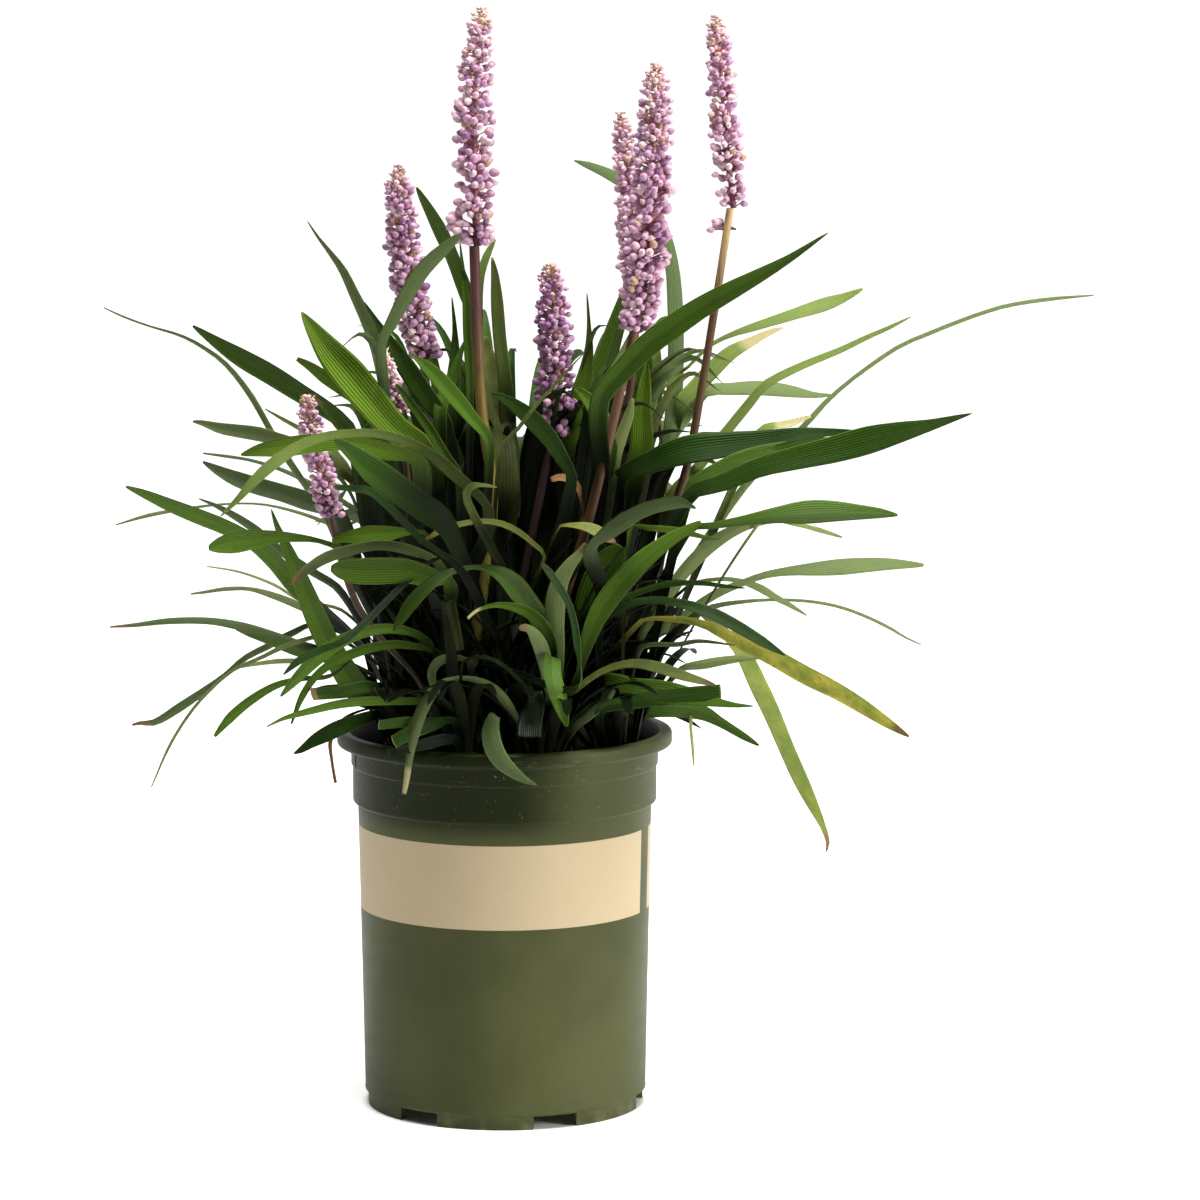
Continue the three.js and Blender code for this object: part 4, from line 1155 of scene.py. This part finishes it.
# Leaves that have no solid, with their tuft and the depths of their start and their tip.
more_leaves = [
    (7, -85, -99, "slate", "",
     "495,715,10 491,728,17 493,745,19 501,760,17 514,772,12 526,780,7 537,785,1"),
    (2, -56, -97, "grey dim", "pale",
     "517,728,10 508,706,11 496,690,9 480,681,7 462,678,5 447,681,7 434,690,11 424,706,12 "
     "415,730,12 410,755,8 407,778,6 404,794,4"),
    (7, -66, -92, "dark", "cut",
     "455,722,6 430,722,9 405,722,11 379,725,9"),
    (7, -70, -96, "deep", "cut",
     "455,722,8 430,726,12 408,734,14 394,742,13"),
    (6, 0, 24, "mid", "",
     "470,400,8 467,330,8 465,290,6 460,241,1"),
    (6, -16, -4, "mid", "",
     "440,410,14 445,395,14 455,370,10 464,342,2"),
    (9, -30, -20, "mid", "",
     "690,490,12 720,470,18 750,457,18 780,449,14 810,442,8 833,438,2"),
    (6, -30, -20, "mid", "",
     "490,445,10 470,415,14 450,391,17 432,371,14 418,359,6 411,354,2"),
    (6, -45, -40, "mid", "",
     "460,480,9 445,455,10 430,430,10 412,405,9 396,384,3"),
    (9, -50, -70, "bright", "",
     "630,529,4 650,528,6 680,531,7 705,537,4 721,539,1"),
    (9, -56, -80, "dark", "",
     "600,615,6 640,592,6 670,584,6 700,583,5 725,586,4 745,588,1"),
    (9, -64, -100, "deep", "",
     "600,625,6 625,606,7 650,600,7 680,603,9 710,612,12 737,626,12 762,641,10 785,655,2"),
    (10, -50, -70, "pale", "",
     "680,670,6 705,664,10 735,659,8 765,657,2"),
    (9, -66, -84, "slate", "",
     "640,650,5 680,644,5 700,641,4 735,645,1"),
    (9, -70, -90, "dark", "cut",
     "600,712,10 640,700,16 680,696,17 721,692,16"),
    (7, -76, -84, "deep dusk", "",
     "462,665,3 480,657,4 500,663,4 520,680,4 537,697,1"),
    (8, -78, -94, "deep gone", "cut",
     "536,690,12 535,705,20 530,722,24 529,736,24"),
    (4, -10, 10, "slate dim", "",
     "600,400,8 615,370,10 630,333,1"),
    (4, -14, -14, "dark", "",
     "590,395,9 600,385,8 610,378,2"),
    (7, -70, -76, "olive gone", "cut",
     "448,600,12 455,625,10 460,650,8"),
    (10, -14, -6, "light", "pale",
     "760,432,8 790,423,8 811,416,2"),
    (14, -20, -30, "mid", "brown",
     "352,440,10 338,424,9 325,408,6 311,394,2"),
    (7, -76, -100, "deep gone", "cut",
     "455,740,10 425,744,12 402,750,9 389,753,8"),
    (15, -50, -70, "dark", "brown",
     "375,690,12 340,692,13 312,694,12"),
    (15, -30, -40, "pale", "",
     "340,660,4 310,661,5 280,661,5 255,664,4 238,668,1"),
    (14, 30, 50, "pale", "",
     "322,450,10 340,465,16 352,480,8 355,487,2"),
    (10, -10, 10, "pale", "",
     "760,522,3 795,524,4 820,530,5 842,537,2"),
    (10, -30, 0, "grey", "",
     "640,640,8 665,598,12 690,565,14 715,542,14 740,528,10 765,522,5 790,521,2"),
    (4, 10, 20, "bright", "",
     "640,455,24 642,410,20 645,380,12 647,360,1"),
    (4, 30, 30, "light", "",
     "653,430,12 656,390,12 657,360,10 656,335,4"),
    (3, -8, -8, "pale", "",
     "616,455,12 622,435,12 629,415,10 633,398,3"),
]
spare_routes = list(leaf_routes)


def route_to(tip):
    """The route that ends at a tip, once."""
    shown = seen(tip)
    for drawn in spare_routes:
        spots, _ = read_route(drawn[-1])
        if (spots[-1] - shown).length < 2.5:
            spare_routes.remove(drawn)
            return drawn
    return None


def some_tone(chance):
    """The tone of a leaf that has no route."""
    return (chance.uniform(0.0, 0.35), chance.choice((0, 0, 0.1, 0.2, 0.4)),
            chance.choice((0, 0, 0, 0, 0.15)), 0)


def look_like(blade, tone, end, painted_gloom, start=0.3):
    """Stores a leaf's tone, its end, how much painted shade darkens it in the heart of the clump,
    and the share of its length that's hidden among the others."""
    tell(blade, "leaf_look", tuple(tone))
    share, cream = leaf_ends[end]
    tell(blade, "leaf_end", (share, cream, painted_gloom, start))


def look_as_drawn(blade, tone, end, start):
    """Stores the look of a leaf that has a route, from the words of its tone."""
    tone, shade = (tone.split() + [""])[:2]
    look_like(blade, leaf_tones[tone], end, painted_leaf_shades[shade], start)


def seen_from_below(tone):
    return leaf_tones[tone.split()[0]][1] > shows_below


leaf = Finish("lilyturf_leaf", {"Specular IOR Level": 0.1})
across, along, _, under = leaf.told("leaf_place")
bright, grey, yellow, dead = leaf.told("leaf_look")
end_share, end_cream, painted_gloom, start = leaf.told("leaf_end")
place = leaf.place()
cloud = leaf.noise(place, 45, 3)
vein_count = 11
veins = across.sum("SINE", across * (2 * math.pi * vein_count)) * 0.5 + 0.5
fine = veins ** 2.5
# Painted light and shade: the brightness and grey of each leaf's tone are partly painted for the
# light it stands in and for its sheen.
green = leaf.mix(bright, rgb(16, 42, 4), rgb(98, 142, 26))
green = leaf.mix(cloud.step(0.3, 0.7) * 0.25, green, rgb(52, 92, 16))
green = leaf.mix(fine * 0.42, green, leaf.mix(bright, rgb(62, 104, 28), rgb(162, 190, 84)))
green = leaf.mix((1 - veins) ** 3 * 0.35, green, rgb(16, 36, 4))
# Painted shade: one half of each blade, beyond its midrib, is painted darker as the shaded side of
# its fold.
painted_shade_half = across.step(0.47, 0.53)
green = leaf.mix(painted_shade_half * 0.3, green, rgb(12, 34, 3))
below = leaf.mix(bright, rgb(48, 68, 30), rgb(150, 168, 114))
below = leaf.mix(fine * 0.35, below, rgb(150, 166, 116))
green = leaf.mix((under * 0.8).at_least(grey * 0.9), green, below)
edge = (across - 0.5).sum("ABSOLUTE", across - 0.5).step(0.46, 0.5)
green = leaf.mix(edge * 0.35, green, rgb(122, 146, 70))
patches = leaf.noise(place, 70, 4, 0.65).step(0.38, 0.62)
ripe = yellow * (0.35 + 0.65 * patches)
green = leaf.mix(ripe, green, rgb(200, 192, 80))
base = 1 - along.step(0.02, 0.12)
green = leaf.mix(base * 0.5, green, rgb(104, 116, 62))
end_place = (along - 1 + end_share * (0.7 + 0.6 * cloud)) * 60
end_mask = end_place.sum("MINIMUM", end_place.at_least(0.0), 1.0)
end_tone = leaf.mix(end_cream, rgb(104, 66, 40), rgb(214, 204, 150))
green = leaf.mix(end_mask * 0.9, green, end_tone)
brown_spots = leaf.noise(place, 260, 2).step(0.66, 0.74) * yellow * 0.8
husk = leaf.mix(leaf.noise(place, 120, 4), rgb(92, 58, 34), rgb(168, 128, 82))
green = leaf.mix(dead.at_least(brown_spots), green, husk)
# Painted shade: little light comes to the heart of the clump, and less to the leaves that fill it
# and to the low part of each blade, so their colour is painted near black there.
deep_in = leaf.distance(place, (0.0081, -0.013, 0.2462), (7.4, 4.6, 7.8))
heart = leaf.distance(place, (0.0098, -0.006, 0.2273), (8.2, 8.4, 6.6))
low_down = (1 - along.step(start - 0.1, start * 0.68 + 0.32)) * (1 - heart.step(0.72, 1.22))
toward_back = leaf.axis(place, "Y")
between = painted_gloom * (1 - deep_in.step(0.72, 1.15)) * (1 - toward_back.step(0.05, 0.13))
dusk = between.at_least(low_down) * 0.94
leaf.feed("Base Color", leaf.mix(dusk, green, rgb(4, 7, 2)))
leaf.feed("Roughness", 0.3 + 0.14 * cloud + 0.14 * under + 0.3 * dead)
leaf.bump(fine + 0.4 * leaf.noise(place, 900, 2), 0.00022, 0.6)

for number in range(1, tufts + 1):
    tuft = f"leaf_tuft_{number}"
    chance = random.Random(100 + number)
    corners = [v.co for v in nodes[tuft].data.vertices if v.co.z < stock_foot_top]
    stock = sum(corners, Vector()) / len(corners)
    pieces = []
    for tip, rings in sections_from_tip(tuft, stock):
        if len(rings) < 2:
            continue
        name = f"leaf_{number}_{len(pieces)}"
        drawn = route_to(tip)
        solid = solid_course(tip, rings, stock)
        if drawn:
            tone, end, route = drawn[:3]
            blade, start = lay_on_route(
                name, tip, solid, route, seen_from_below(tone), chance)
            look_as_drawn(blade, tone, end, start)
        else:
            solid, tip = set_back(solid, tip)
            blade = lay_leaf(master_leaf, name, solid, tip, chance)
            look_like(blade, some_tone(chance), "", 1.0)
        pieces.append(blade)
    for carrier, near_depth, tip_depth, tone, end, route in more_leaves:
        if carrier == number:
            name = f"leaf_{number}_{len(pieces)}"
            blade, start = lay_free(
                name, stock, near_depth, tip_depth, route, seen_from_below(tone), chance)
            look_as_drawn(blade, tone, end, start)
            pieces.append(blade)
    for _ in range(inner_short if number <= inner_tufts else outer_short):
        blade = arch_leaf(f"leaf_{number}_{len(pieces)}", stock, chance)
        look_like(blade, (chance.uniform(0, 0.3), chance.choice((0, 0, 0.3)), 0, 0), "", 1.0)
        pieces.append(blade)
    root = pull_along(f"stock_{number}", 18, [
        ((stock.x, stock.y, height * MM), radius * MM) for height, radius in stock_profile])
    tell(root, "leaf_place", (0.5, 0.04, 0, 0))
    look_like(root, (0.2, 0.3, 0.1, 0.25), "", 0.8)
    clump = joined(f"leaves_{number}", [*pieces, root])
    leaf.put_on(clump)
    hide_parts(tuft)
    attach(clump, "root")
for master in (master_leaf, short_master):
    bpy.data.objects.remove(master)


# --- The flower stalks --------------------------------------------------------------------
# Each spike of flowers stands on a smooth round scape that rises from the soil among the
# leaves: brown to purple near the flowers, and olive lower down.

spikes = 8
scape_colours = {  # near the flowers, below that, low down, and where the first ends
    1: (rgb(94, 62, 58), rgb(116, 98, 42), rgb(84, 84, 28), 0.8),
    2: (rgb(92, 66, 66), rgb(70, 52, 44), rgb(40, 38, 18), 0.8),
    3: (rgb(92, 66, 72), rgb(62, 46, 40), rgb(40, 38, 18), 0.8),
    4: (rgb(108, 76, 62), rgb(72, 52, 30), rgb(48, 42, 18), 0.75),
    5: (rgb(86, 60, 46), rgb(68, 50, 32), rgb(42, 38, 18), 0.7),
    6: (rgb(214, 186, 134), rgb(92, 66, 44), rgb(62, 46, 30), 0.93),
    7: (rgb(102, 78, 54), rgb(72, 64, 32), rgb(44, 44, 18), 0.7),
    8: (rgb(104, 78, 68), rgb(62, 50, 30), rgb(36, 38, 16), 0.7),
}
scape_sides = 14
scape_steps = 40
scape_taper = 0.2


def levels_of(node, gap):
    """The middles of a stalk's sections, from its foot up."""
    points = sorted((vertex.co.copy() for vertex in nodes[node].data.vertices),
                    key=lambda point: point.z)
    groups = [[points[0]]]
    for point in points[1:]:
        if point.z - groups[-1][-1].z > gap:
            groups.append([])
        groups[-1].append(point)
    return [sum(group, Vector()) / len(group) for group in groups]


for number in range(1, spikes + 1):
    node = f"flower_stem_{number}"
    middles = levels_of(node, 4 * MM)
    low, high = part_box(node)
    knots = [(middle.z - middles[0].z) / (middles[-1].z - middles[0].z) for middle in middles]
    foot_points = [v.co for v in nodes[node].data.vertices if v.co.z < low.z + MM]
    full = max((point - middles[0]).length for point in foot_points)
    stations = []
    for i in range(scape_steps + 1):
        share = i / scape_steps
        radius = full * (1 - scape_taper * share) * (1 + 0.02 * math.sin(40 * share))
        stations.append((eased(knots, middles, share), radius))
    scape = pull_along(f"scape_{number}", scape_sides, stations)
    pick(scape)
    bpy.ops.object.shade_smooth_by_angle(angle=math.radians(50))
    top, middle, bottom, turn_at = scape_colours[number]
    skin = Finish(f"scape_{number}", {"Specular IOR Level": 0.22})
    place = skin.place()
    drawn_out = skin.node("ShaderNodeMapping", {}, {"Vector": place, "Scale": (1, 1, 0.08)})
    streaks = skin.noise(drawn_out, 900, 3)
    up = (skin.axis(place, "Z") - low.z) / (high.z - low.z) + (streaks - 0.5) * 0.16
    colour = skin.ramp(up, (0.2, bottom), (turn_at - 0.08, middle), (turn_at + 0.08, top))
    skin.feed("Base Color", skin.mix(streaks.step(0.5, 0.8) * 0.3, colour, rgb(40, 28, 24)))
    skin.feed("Roughness", 0.38 + 0.2 * streaks)
    skin.bump(streaks, 0.0002)
    skin.put_on(scape)
    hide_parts(node)
    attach(scape, "root")


# --- The flowers --------------------------------------------------------------------------
# A spike carries its flowers in close clusters on a purple axis: round lilac buds, most of
# them still shut, each on a short pale stalk with a cream bract at its foot.

# One bud: a ball drawn to a blunt point, with five shallow furrows between its petals.
petals = 5
furrow_depth = 0.09
begin()
bpy.ops.mesh.primitive_uv_sphere_add(segments=10, ring_count=6, radius=1)
master_bud = christen("bud")
bpy.ops.object.shade_smooth()
for vertex in master_bud.data.vertices:
    x, y, z = vertex.co
    turn = math.atan2(y, x)
    furrow = 1 - furrow_depth * (1 - z * z) * (0.5 + 0.5 * math.cos(petals * turn))
    slim = 0.94 - 0.1 * max(0, z)
    vertex.co = Vector((x * furrow * slim, y * furrow * slim, z * (1.2 if z > 0 else 0.95)))

# One stalk of a bud, a thin rod from 0 to 1 along Z with a swollen end.
master_pedicel = pull_along("pedicel", 5, [
    ((0, 0, 0), 0.9), ((0, 0, 0.12), 0.55), ((0, 0, 0.85), 0.5), ((0, 0, 1), 0.8)])
pick(master_pedicel)
bpy.ops.object.shade_smooth()

# One bract: a small pointed scale.
begin()
bpy.ops.mesh.primitive_cube_add(size=1, location=(0, 0, 0.5), scale=(1, 0.16, 1))
master_bract = christen("bract")
apply_place(master_bract)
subdivide_edges(master_bract, (0, 0, 1), 2)
for vertex in master_bract.data.vertices:
    x, y, z = vertex.co
    vertex.co = Vector((x * (1 - z) ** 0.7, y * (1 - 0.8 * z) + 0.3 * z * z, z))

# Spread of each spike: rows a centimetre, clusters round a row, size of a bud in
# millimetres, how loose it is, and how pale its buds are.
spike_habits = {
    1: (3.2, 4, 2.3, 0.5, 0.66), 2: (3.6, 5, 2.15, 0.12, 0.5), 3: (3.6, 5, 2.1, 0.12, 0.4),
    4: (3.5, 5, 2.2, 0.15, 0.6), 5: (3.4, 4, 2.0, 0.2, 0.75), 6: (3.3, 4, 2.0, 0.4, 0.66),
    7: (4.8, 4, 1.4, 0.1, 0.85), 8: (4.0, 4, 1.8, 0.1, 0.5),
}
bud_height = 2.1
least_gap = 0.7  # between two buds, as a share of both their radii
row_turn = 2.4
pedicel_width = 0.62 * MM
bract_size = (1.6 * MM, 1.3 * MM, 4.2 * MM)
highest_bract = 0.92
rachis_steps = 24


def head_spine(node):
    """The curved middle line of a head of flowers, as (x, y) of height."""
    points = np.array([vertex.co for vertex in nodes[node].data.vertices])
    return [np.polyfit(points[:, 2], points[:, axis], 2) for axis in (0, 1)]


def head_width(node, spine, low, high):
    """How far the middle of a head stands out from its spine."""
    points = np.array([vertex.co for vertex in nodes[node].data.vertices])
    off = np.hypot(points[:, 0] - np.polyval(spine[0], points[:, 2]),
                   points[:, 1] - np.polyval(spine[1], points[:, 2]))
    middle = (points[:, 2] > low + 0.45 * (high - low)) & (points[:, 2] < low + 0.8 * (high - low))
    return float(np.percentile(off[middle], 80))


def on_spine(spine, z):
    return Vector((float(np.polyval(spine[0], z)), float(np.polyval(spine[1], z)), z))


def full_at(reach, share):
    """How far the buds stand out at a share of the head's height: less at both its ends."""
    crown = 1 - 7 * max(0, share - 0.92)
    return reach * (0.84 + 0.16 * min(1, share * 5)) * (1 - 0.5 * share ** 4) * crown


def stood(master, name, foot, toward, size):
    """A copy of a master, sized along its axes, with its foot placed and its Z axis turned."""
    turned = toward.to_track_quat("Z", "Y").to_matrix().to_4x4()
    piece = copied(master, name)
    piece.data.transform(Matrix.Translation(foot) @ turned @ Matrix.Diagonal((*size, 1)))
    return piece


def lay_bud(centre, toward, size, tone, chosen):
    """A bud that knows its tone, its own height and the number that picks a few of them."""
    bud = stood(master_bud, "bud", centre, toward, (size, size, size))
    tell(bud, "bud_tone", [(tone, (v.co.z + 1) / bud_height, chosen, 1)
                           for v in master_bud.data.vertices])
    return bud


def lay_pedicel(foot, end):
    run = end - foot
    return stood(master_pedicel, "pedicel", foot, run,
                 (pedicel_width, pedicel_width, run.length))


# Open florets that stand away from the rest: the spot of each and the size of its petals.
stray_buds = {1: ((456, 222, 2.6), (461, 233, 2.8), (486, 237, 2.2)), 6: ((717, 225, 2.0),)}

for number in range(1, spikes + 1):
    node = f"flower_head_{number}"
    rows_per_cm, clusters, bud_size, loose, pale = spike_habits[number]
    chance = random.Random(700 + number)
    low, high = (end.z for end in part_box(node))
    spine = head_spine(node)
    reach = head_width(node, spine, low, high)
    buds, stalks, placed = [], [], []
    rows = round(rows_per_cm * (high - low) * 100)
    for row in range(rows):
        for cluster in range(clusters):
            if chance.random() < loose * (0.55 - 0.45 * row / rows):
                continue
            cluster_turn = row * row_turn + cluster * 2 * math.pi / clusters + chance.gauss(0, 0.15)
            for _ in range(chance.choice((3, 4, 5))):
                share = (row + 0.5 + chance.gauss(0, 0.3)) / rows
                share = min(0.985, max(0.015, share))
                turn = cluster_turn + chance.gauss(0, 0.5)
                size = bud_size * MM * chance.uniform(0.78, 1.12) * (1 - 0.5 * share ** 4)
                out = Vector((math.cos(turn), math.sin(turn), 0))
                full = full_at(reach, share) * chance.uniform(0.92, 1.15)
                stand = (full - size) * chance.uniform(0.2, 1.0) ** 0.45
                foot = on_spine(spine, low + share * (high - low))
                centre = foot + out * stand + Vector((0, 0, stand * 0.12))
                centre.z = min(centre.z, high - size * 1.3)
                if any((centre - other).length < least_gap * (size + theirs)
                       for other, theirs in placed):
                    continue
                placed.append((centre, size))
                toward = (out + Vector((0, 0, chance.uniform(-0.2, 0.9)))).normalized()
                tone = min(1, max(0, pale + chance.gauss(0, 0.21)))
                buds.append(lay_bud(centre, toward, size, tone, chance.random()))
                stalks.append(lay_pedicel(foot - Vector((0, 0, stand * 0.25)),
                                          centre - toward * size * 0.8))
            up = min(highest_bract, (row + 0.4) / rows)
            lean = Vector((math.cos(cluster_turn), math.sin(cluster_turn), 0.9))
            bract_foot = on_spine(spine, low + up * (high - low)) + lean * 1.2 * MM
            stalks.append(stood(master_bract, "bract", bract_foot, lean, bract_size))
    for column, row, size in stray_buds.get(number, ()):
        spot = on_board(column, row)
        foot = on_spine(spine, behind_board(spot, on_spine(spine, low).y).z - 2 * MM)
        for _ in range(petals):
            jolt = Vector((chance.gauss(0, 1.6), chance.gauss(0, 2.5), chance.gauss(0, 1.8)))
            centre = behind_board(spot, foot.y) + jolt * MM
            buds.append(lay_bud(centre, centre - foot, size * MM, 0.8, 0.5))
            stalks.append(lay_pedicel(foot, centre))
    axis_radius = (2.1 if number in (1, 4) else 1.6) * MM
    axis_stations = []
    for i in range(rachis_steps + 1):
        share = i / rachis_steps
        axis_stations.append((on_spine(spine, low + share * (high - low - 2 * MM)),
                              axis_radius * (1 - 0.7 * share)))
    rachis = pull_along(f"rachis_{number}", 10, axis_stations)
    bpy.ops.object.shade_smooth_by_angle(angle=math.radians(50))

    petal = Finish(f"lilac_bud_{number}", {"Specular IOR Level": 0.35})
    tone, outer, chosen, _ = petal.told("bud_tone")
    place = petal.place()
    grain = petal.noise(place, 700, 3)
    lilac = petal.ramp(tone + (grain - 0.5) * 0.4,
                       (0, rgb(138, 94, 140)), (0.4, rgb(196, 150, 184)),
                       (0.75, rgb(228, 188, 208)), (1, rgb(244, 216, 220)))
    lilac = petal.mix((1 - outer.step(0.0, 0.4)) * 0.6, lilac, rgb(228, 196, 190))
    lilac = petal.mix((chosen > 0.96) * 0.7, lilac, rgb(206, 172, 116))
    crown = petal.axis(place, "Z").step(high - 0.14 * (high - low), high) * 0.45
    lilac = petal.mix(crown, lilac, rgb(226, 204, 168))
    petal.feed("Base Color", petal.mix(outer.step(0.88, 1.0) * 0.3, lilac, rgb(150, 106, 156)))
    petal.feed("Roughness", 0.42 + 0.2 * grain)
    petal.bump(grain, 0.00025)

    stalky = Finish(f"rachis_{number}", {"Specular IOR Level": 0.4})
    place = stalky.place()
    grain = stalky.noise(place, 420, 3)
    up = (stalky.axis(place, "Z") - low) / (high - low) + (grain - 0.5) * 0.5
    stalky.feed("Base Color", stalky.ramp(
        up, (0, rgb(112, 66, 80)), (0.35, rgb(178, 118, 134)), (0.7, rgb(214, 164, 168)),
        (1, rgb(232, 206, 168))))
    stalky.feed("Roughness", 0.45 + 0.2 * grain)
    stalky.bump(grain, 0.0002)

    cluster_of_buds = joined(f"buds_{number}", buds)
    petal.put_on(cluster_of_buds)
    stalk_work = joined(f"flower_stalks_{number}", [*stalks, rachis])
    stalky.put_on(stalk_work)
    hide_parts(node)
    for piece in (cluster_of_buds, stalk_work):
        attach(piece, "root")
for master in (master_bud, master_pedicel, master_bract):
    bpy.data.objects.remove(master)


# --- The studio ---------------------------------------------------------------------------
# A white floor that runs on out of sight and glows, a painted light: white to the eye, brighter far
# from the pot, dimmer onto the pot and plant, and not at all beneath the pot. A large soft light
# from the right and one from above, and white walls at the sides and the back.

floor_size = 120
floor_front = -0.6
begin()
bpy.ops.mesh.primitive_plane_add(
    size=floor_size, location=(0, floor_front + floor_size / 2, 0))
floor = christen("floor")
apply_place(floor)
paper = Finish("white_floor", {"Specular IOR Level": 0.1, "Roughness": 0.9,
                               "Base Color": (0.9, 0.9, 0.9, 1),
                               "Emission Color": (1, 1, 1, 1),
                               "Emission Strength": 0.7})
# Painted light: the floor glows, more to the eye than onto the pot and plant, more far from the
# pot, and not beneath it.
straight = paper.node("ShaderNodeLightPath", out="Is Camera Ray")
from_pot = paper.distance(paper.place())
white = paper.mix(from_pot.step(0.5, 4.0), (1, 1, 1, 1), (1.3, 1.3, 1.3, 1))
glow = paper.mix(straight, (0.45, 0.45, 0.45, 1), white)
paper.feed("Emission Color", paper.mix(from_pot.step(0.066, 0.074), (0.01, 0.012, 0.008, 1), glow))
paper.put_on(floor)


def soft_light(name, place, aim, size, watts, colour):
    begin()
    bpy.ops.object.light_add(type="AREA", location=place)
    lamp = bpy.context.object
    lamp.name = name
    lamp.data.shape = "DISK"
    lamp.data.size = size
    lamp.data.energy = watts
    lamp.data.color = colour
    lamp.rotation_euler = (Vector(aim) - Vector(place)).to_track_quat("-Z", "Y").to_euler()


soft_light("key_light", place=(1.75, -0.75, 0.6), aim=(0, 0, 0.2), size=0.8, watts=31,
           colour=(1, 0.98, 0.94))
soft_light("top_light", place=(0.1, -0.35, 2.2), aim=(0, 0, 0.3), size=0.9, watts=62,
           colour=(1, 0.99, 0.96))

world = bpy.data.worlds.new("studio")
bpy.context.scene.world = world
world.use_nodes = True
walls = NodeTree(world.node_tree, "Background")
walls.shader.inputs["Color"].default_value = (1, 1, 1, 1)
toward = walls.node("ShaderNodeTexCoord", out="Generated")
behind = walls.axis(toward, "Y").step(-0.35, 0.5) * 0.9
level = 1 - walls.axis(toward, "Z").step(0.2, 0.75) * 0.7
direct = walls.node("ShaderNodeLightPath", out="Is Camera Ray")
walls.feed("Strength", walls.node("ShaderNodeMix", {}, {
    0: direct, 2: behind * level + 0.04, 3: 1.16}))

bpy.ops.object.camera_add(location=eye, rotation=(math.pi / 2 - gaze_down, 0, 0))
camera = bpy.context.object
camera.data.sensor_width = 36
camera.data.lens = 159
camera.data.clip_end = 200
bpy.context.scene.camera = camera
bpy.context.scene.view_settings.view_transform = "Standard"
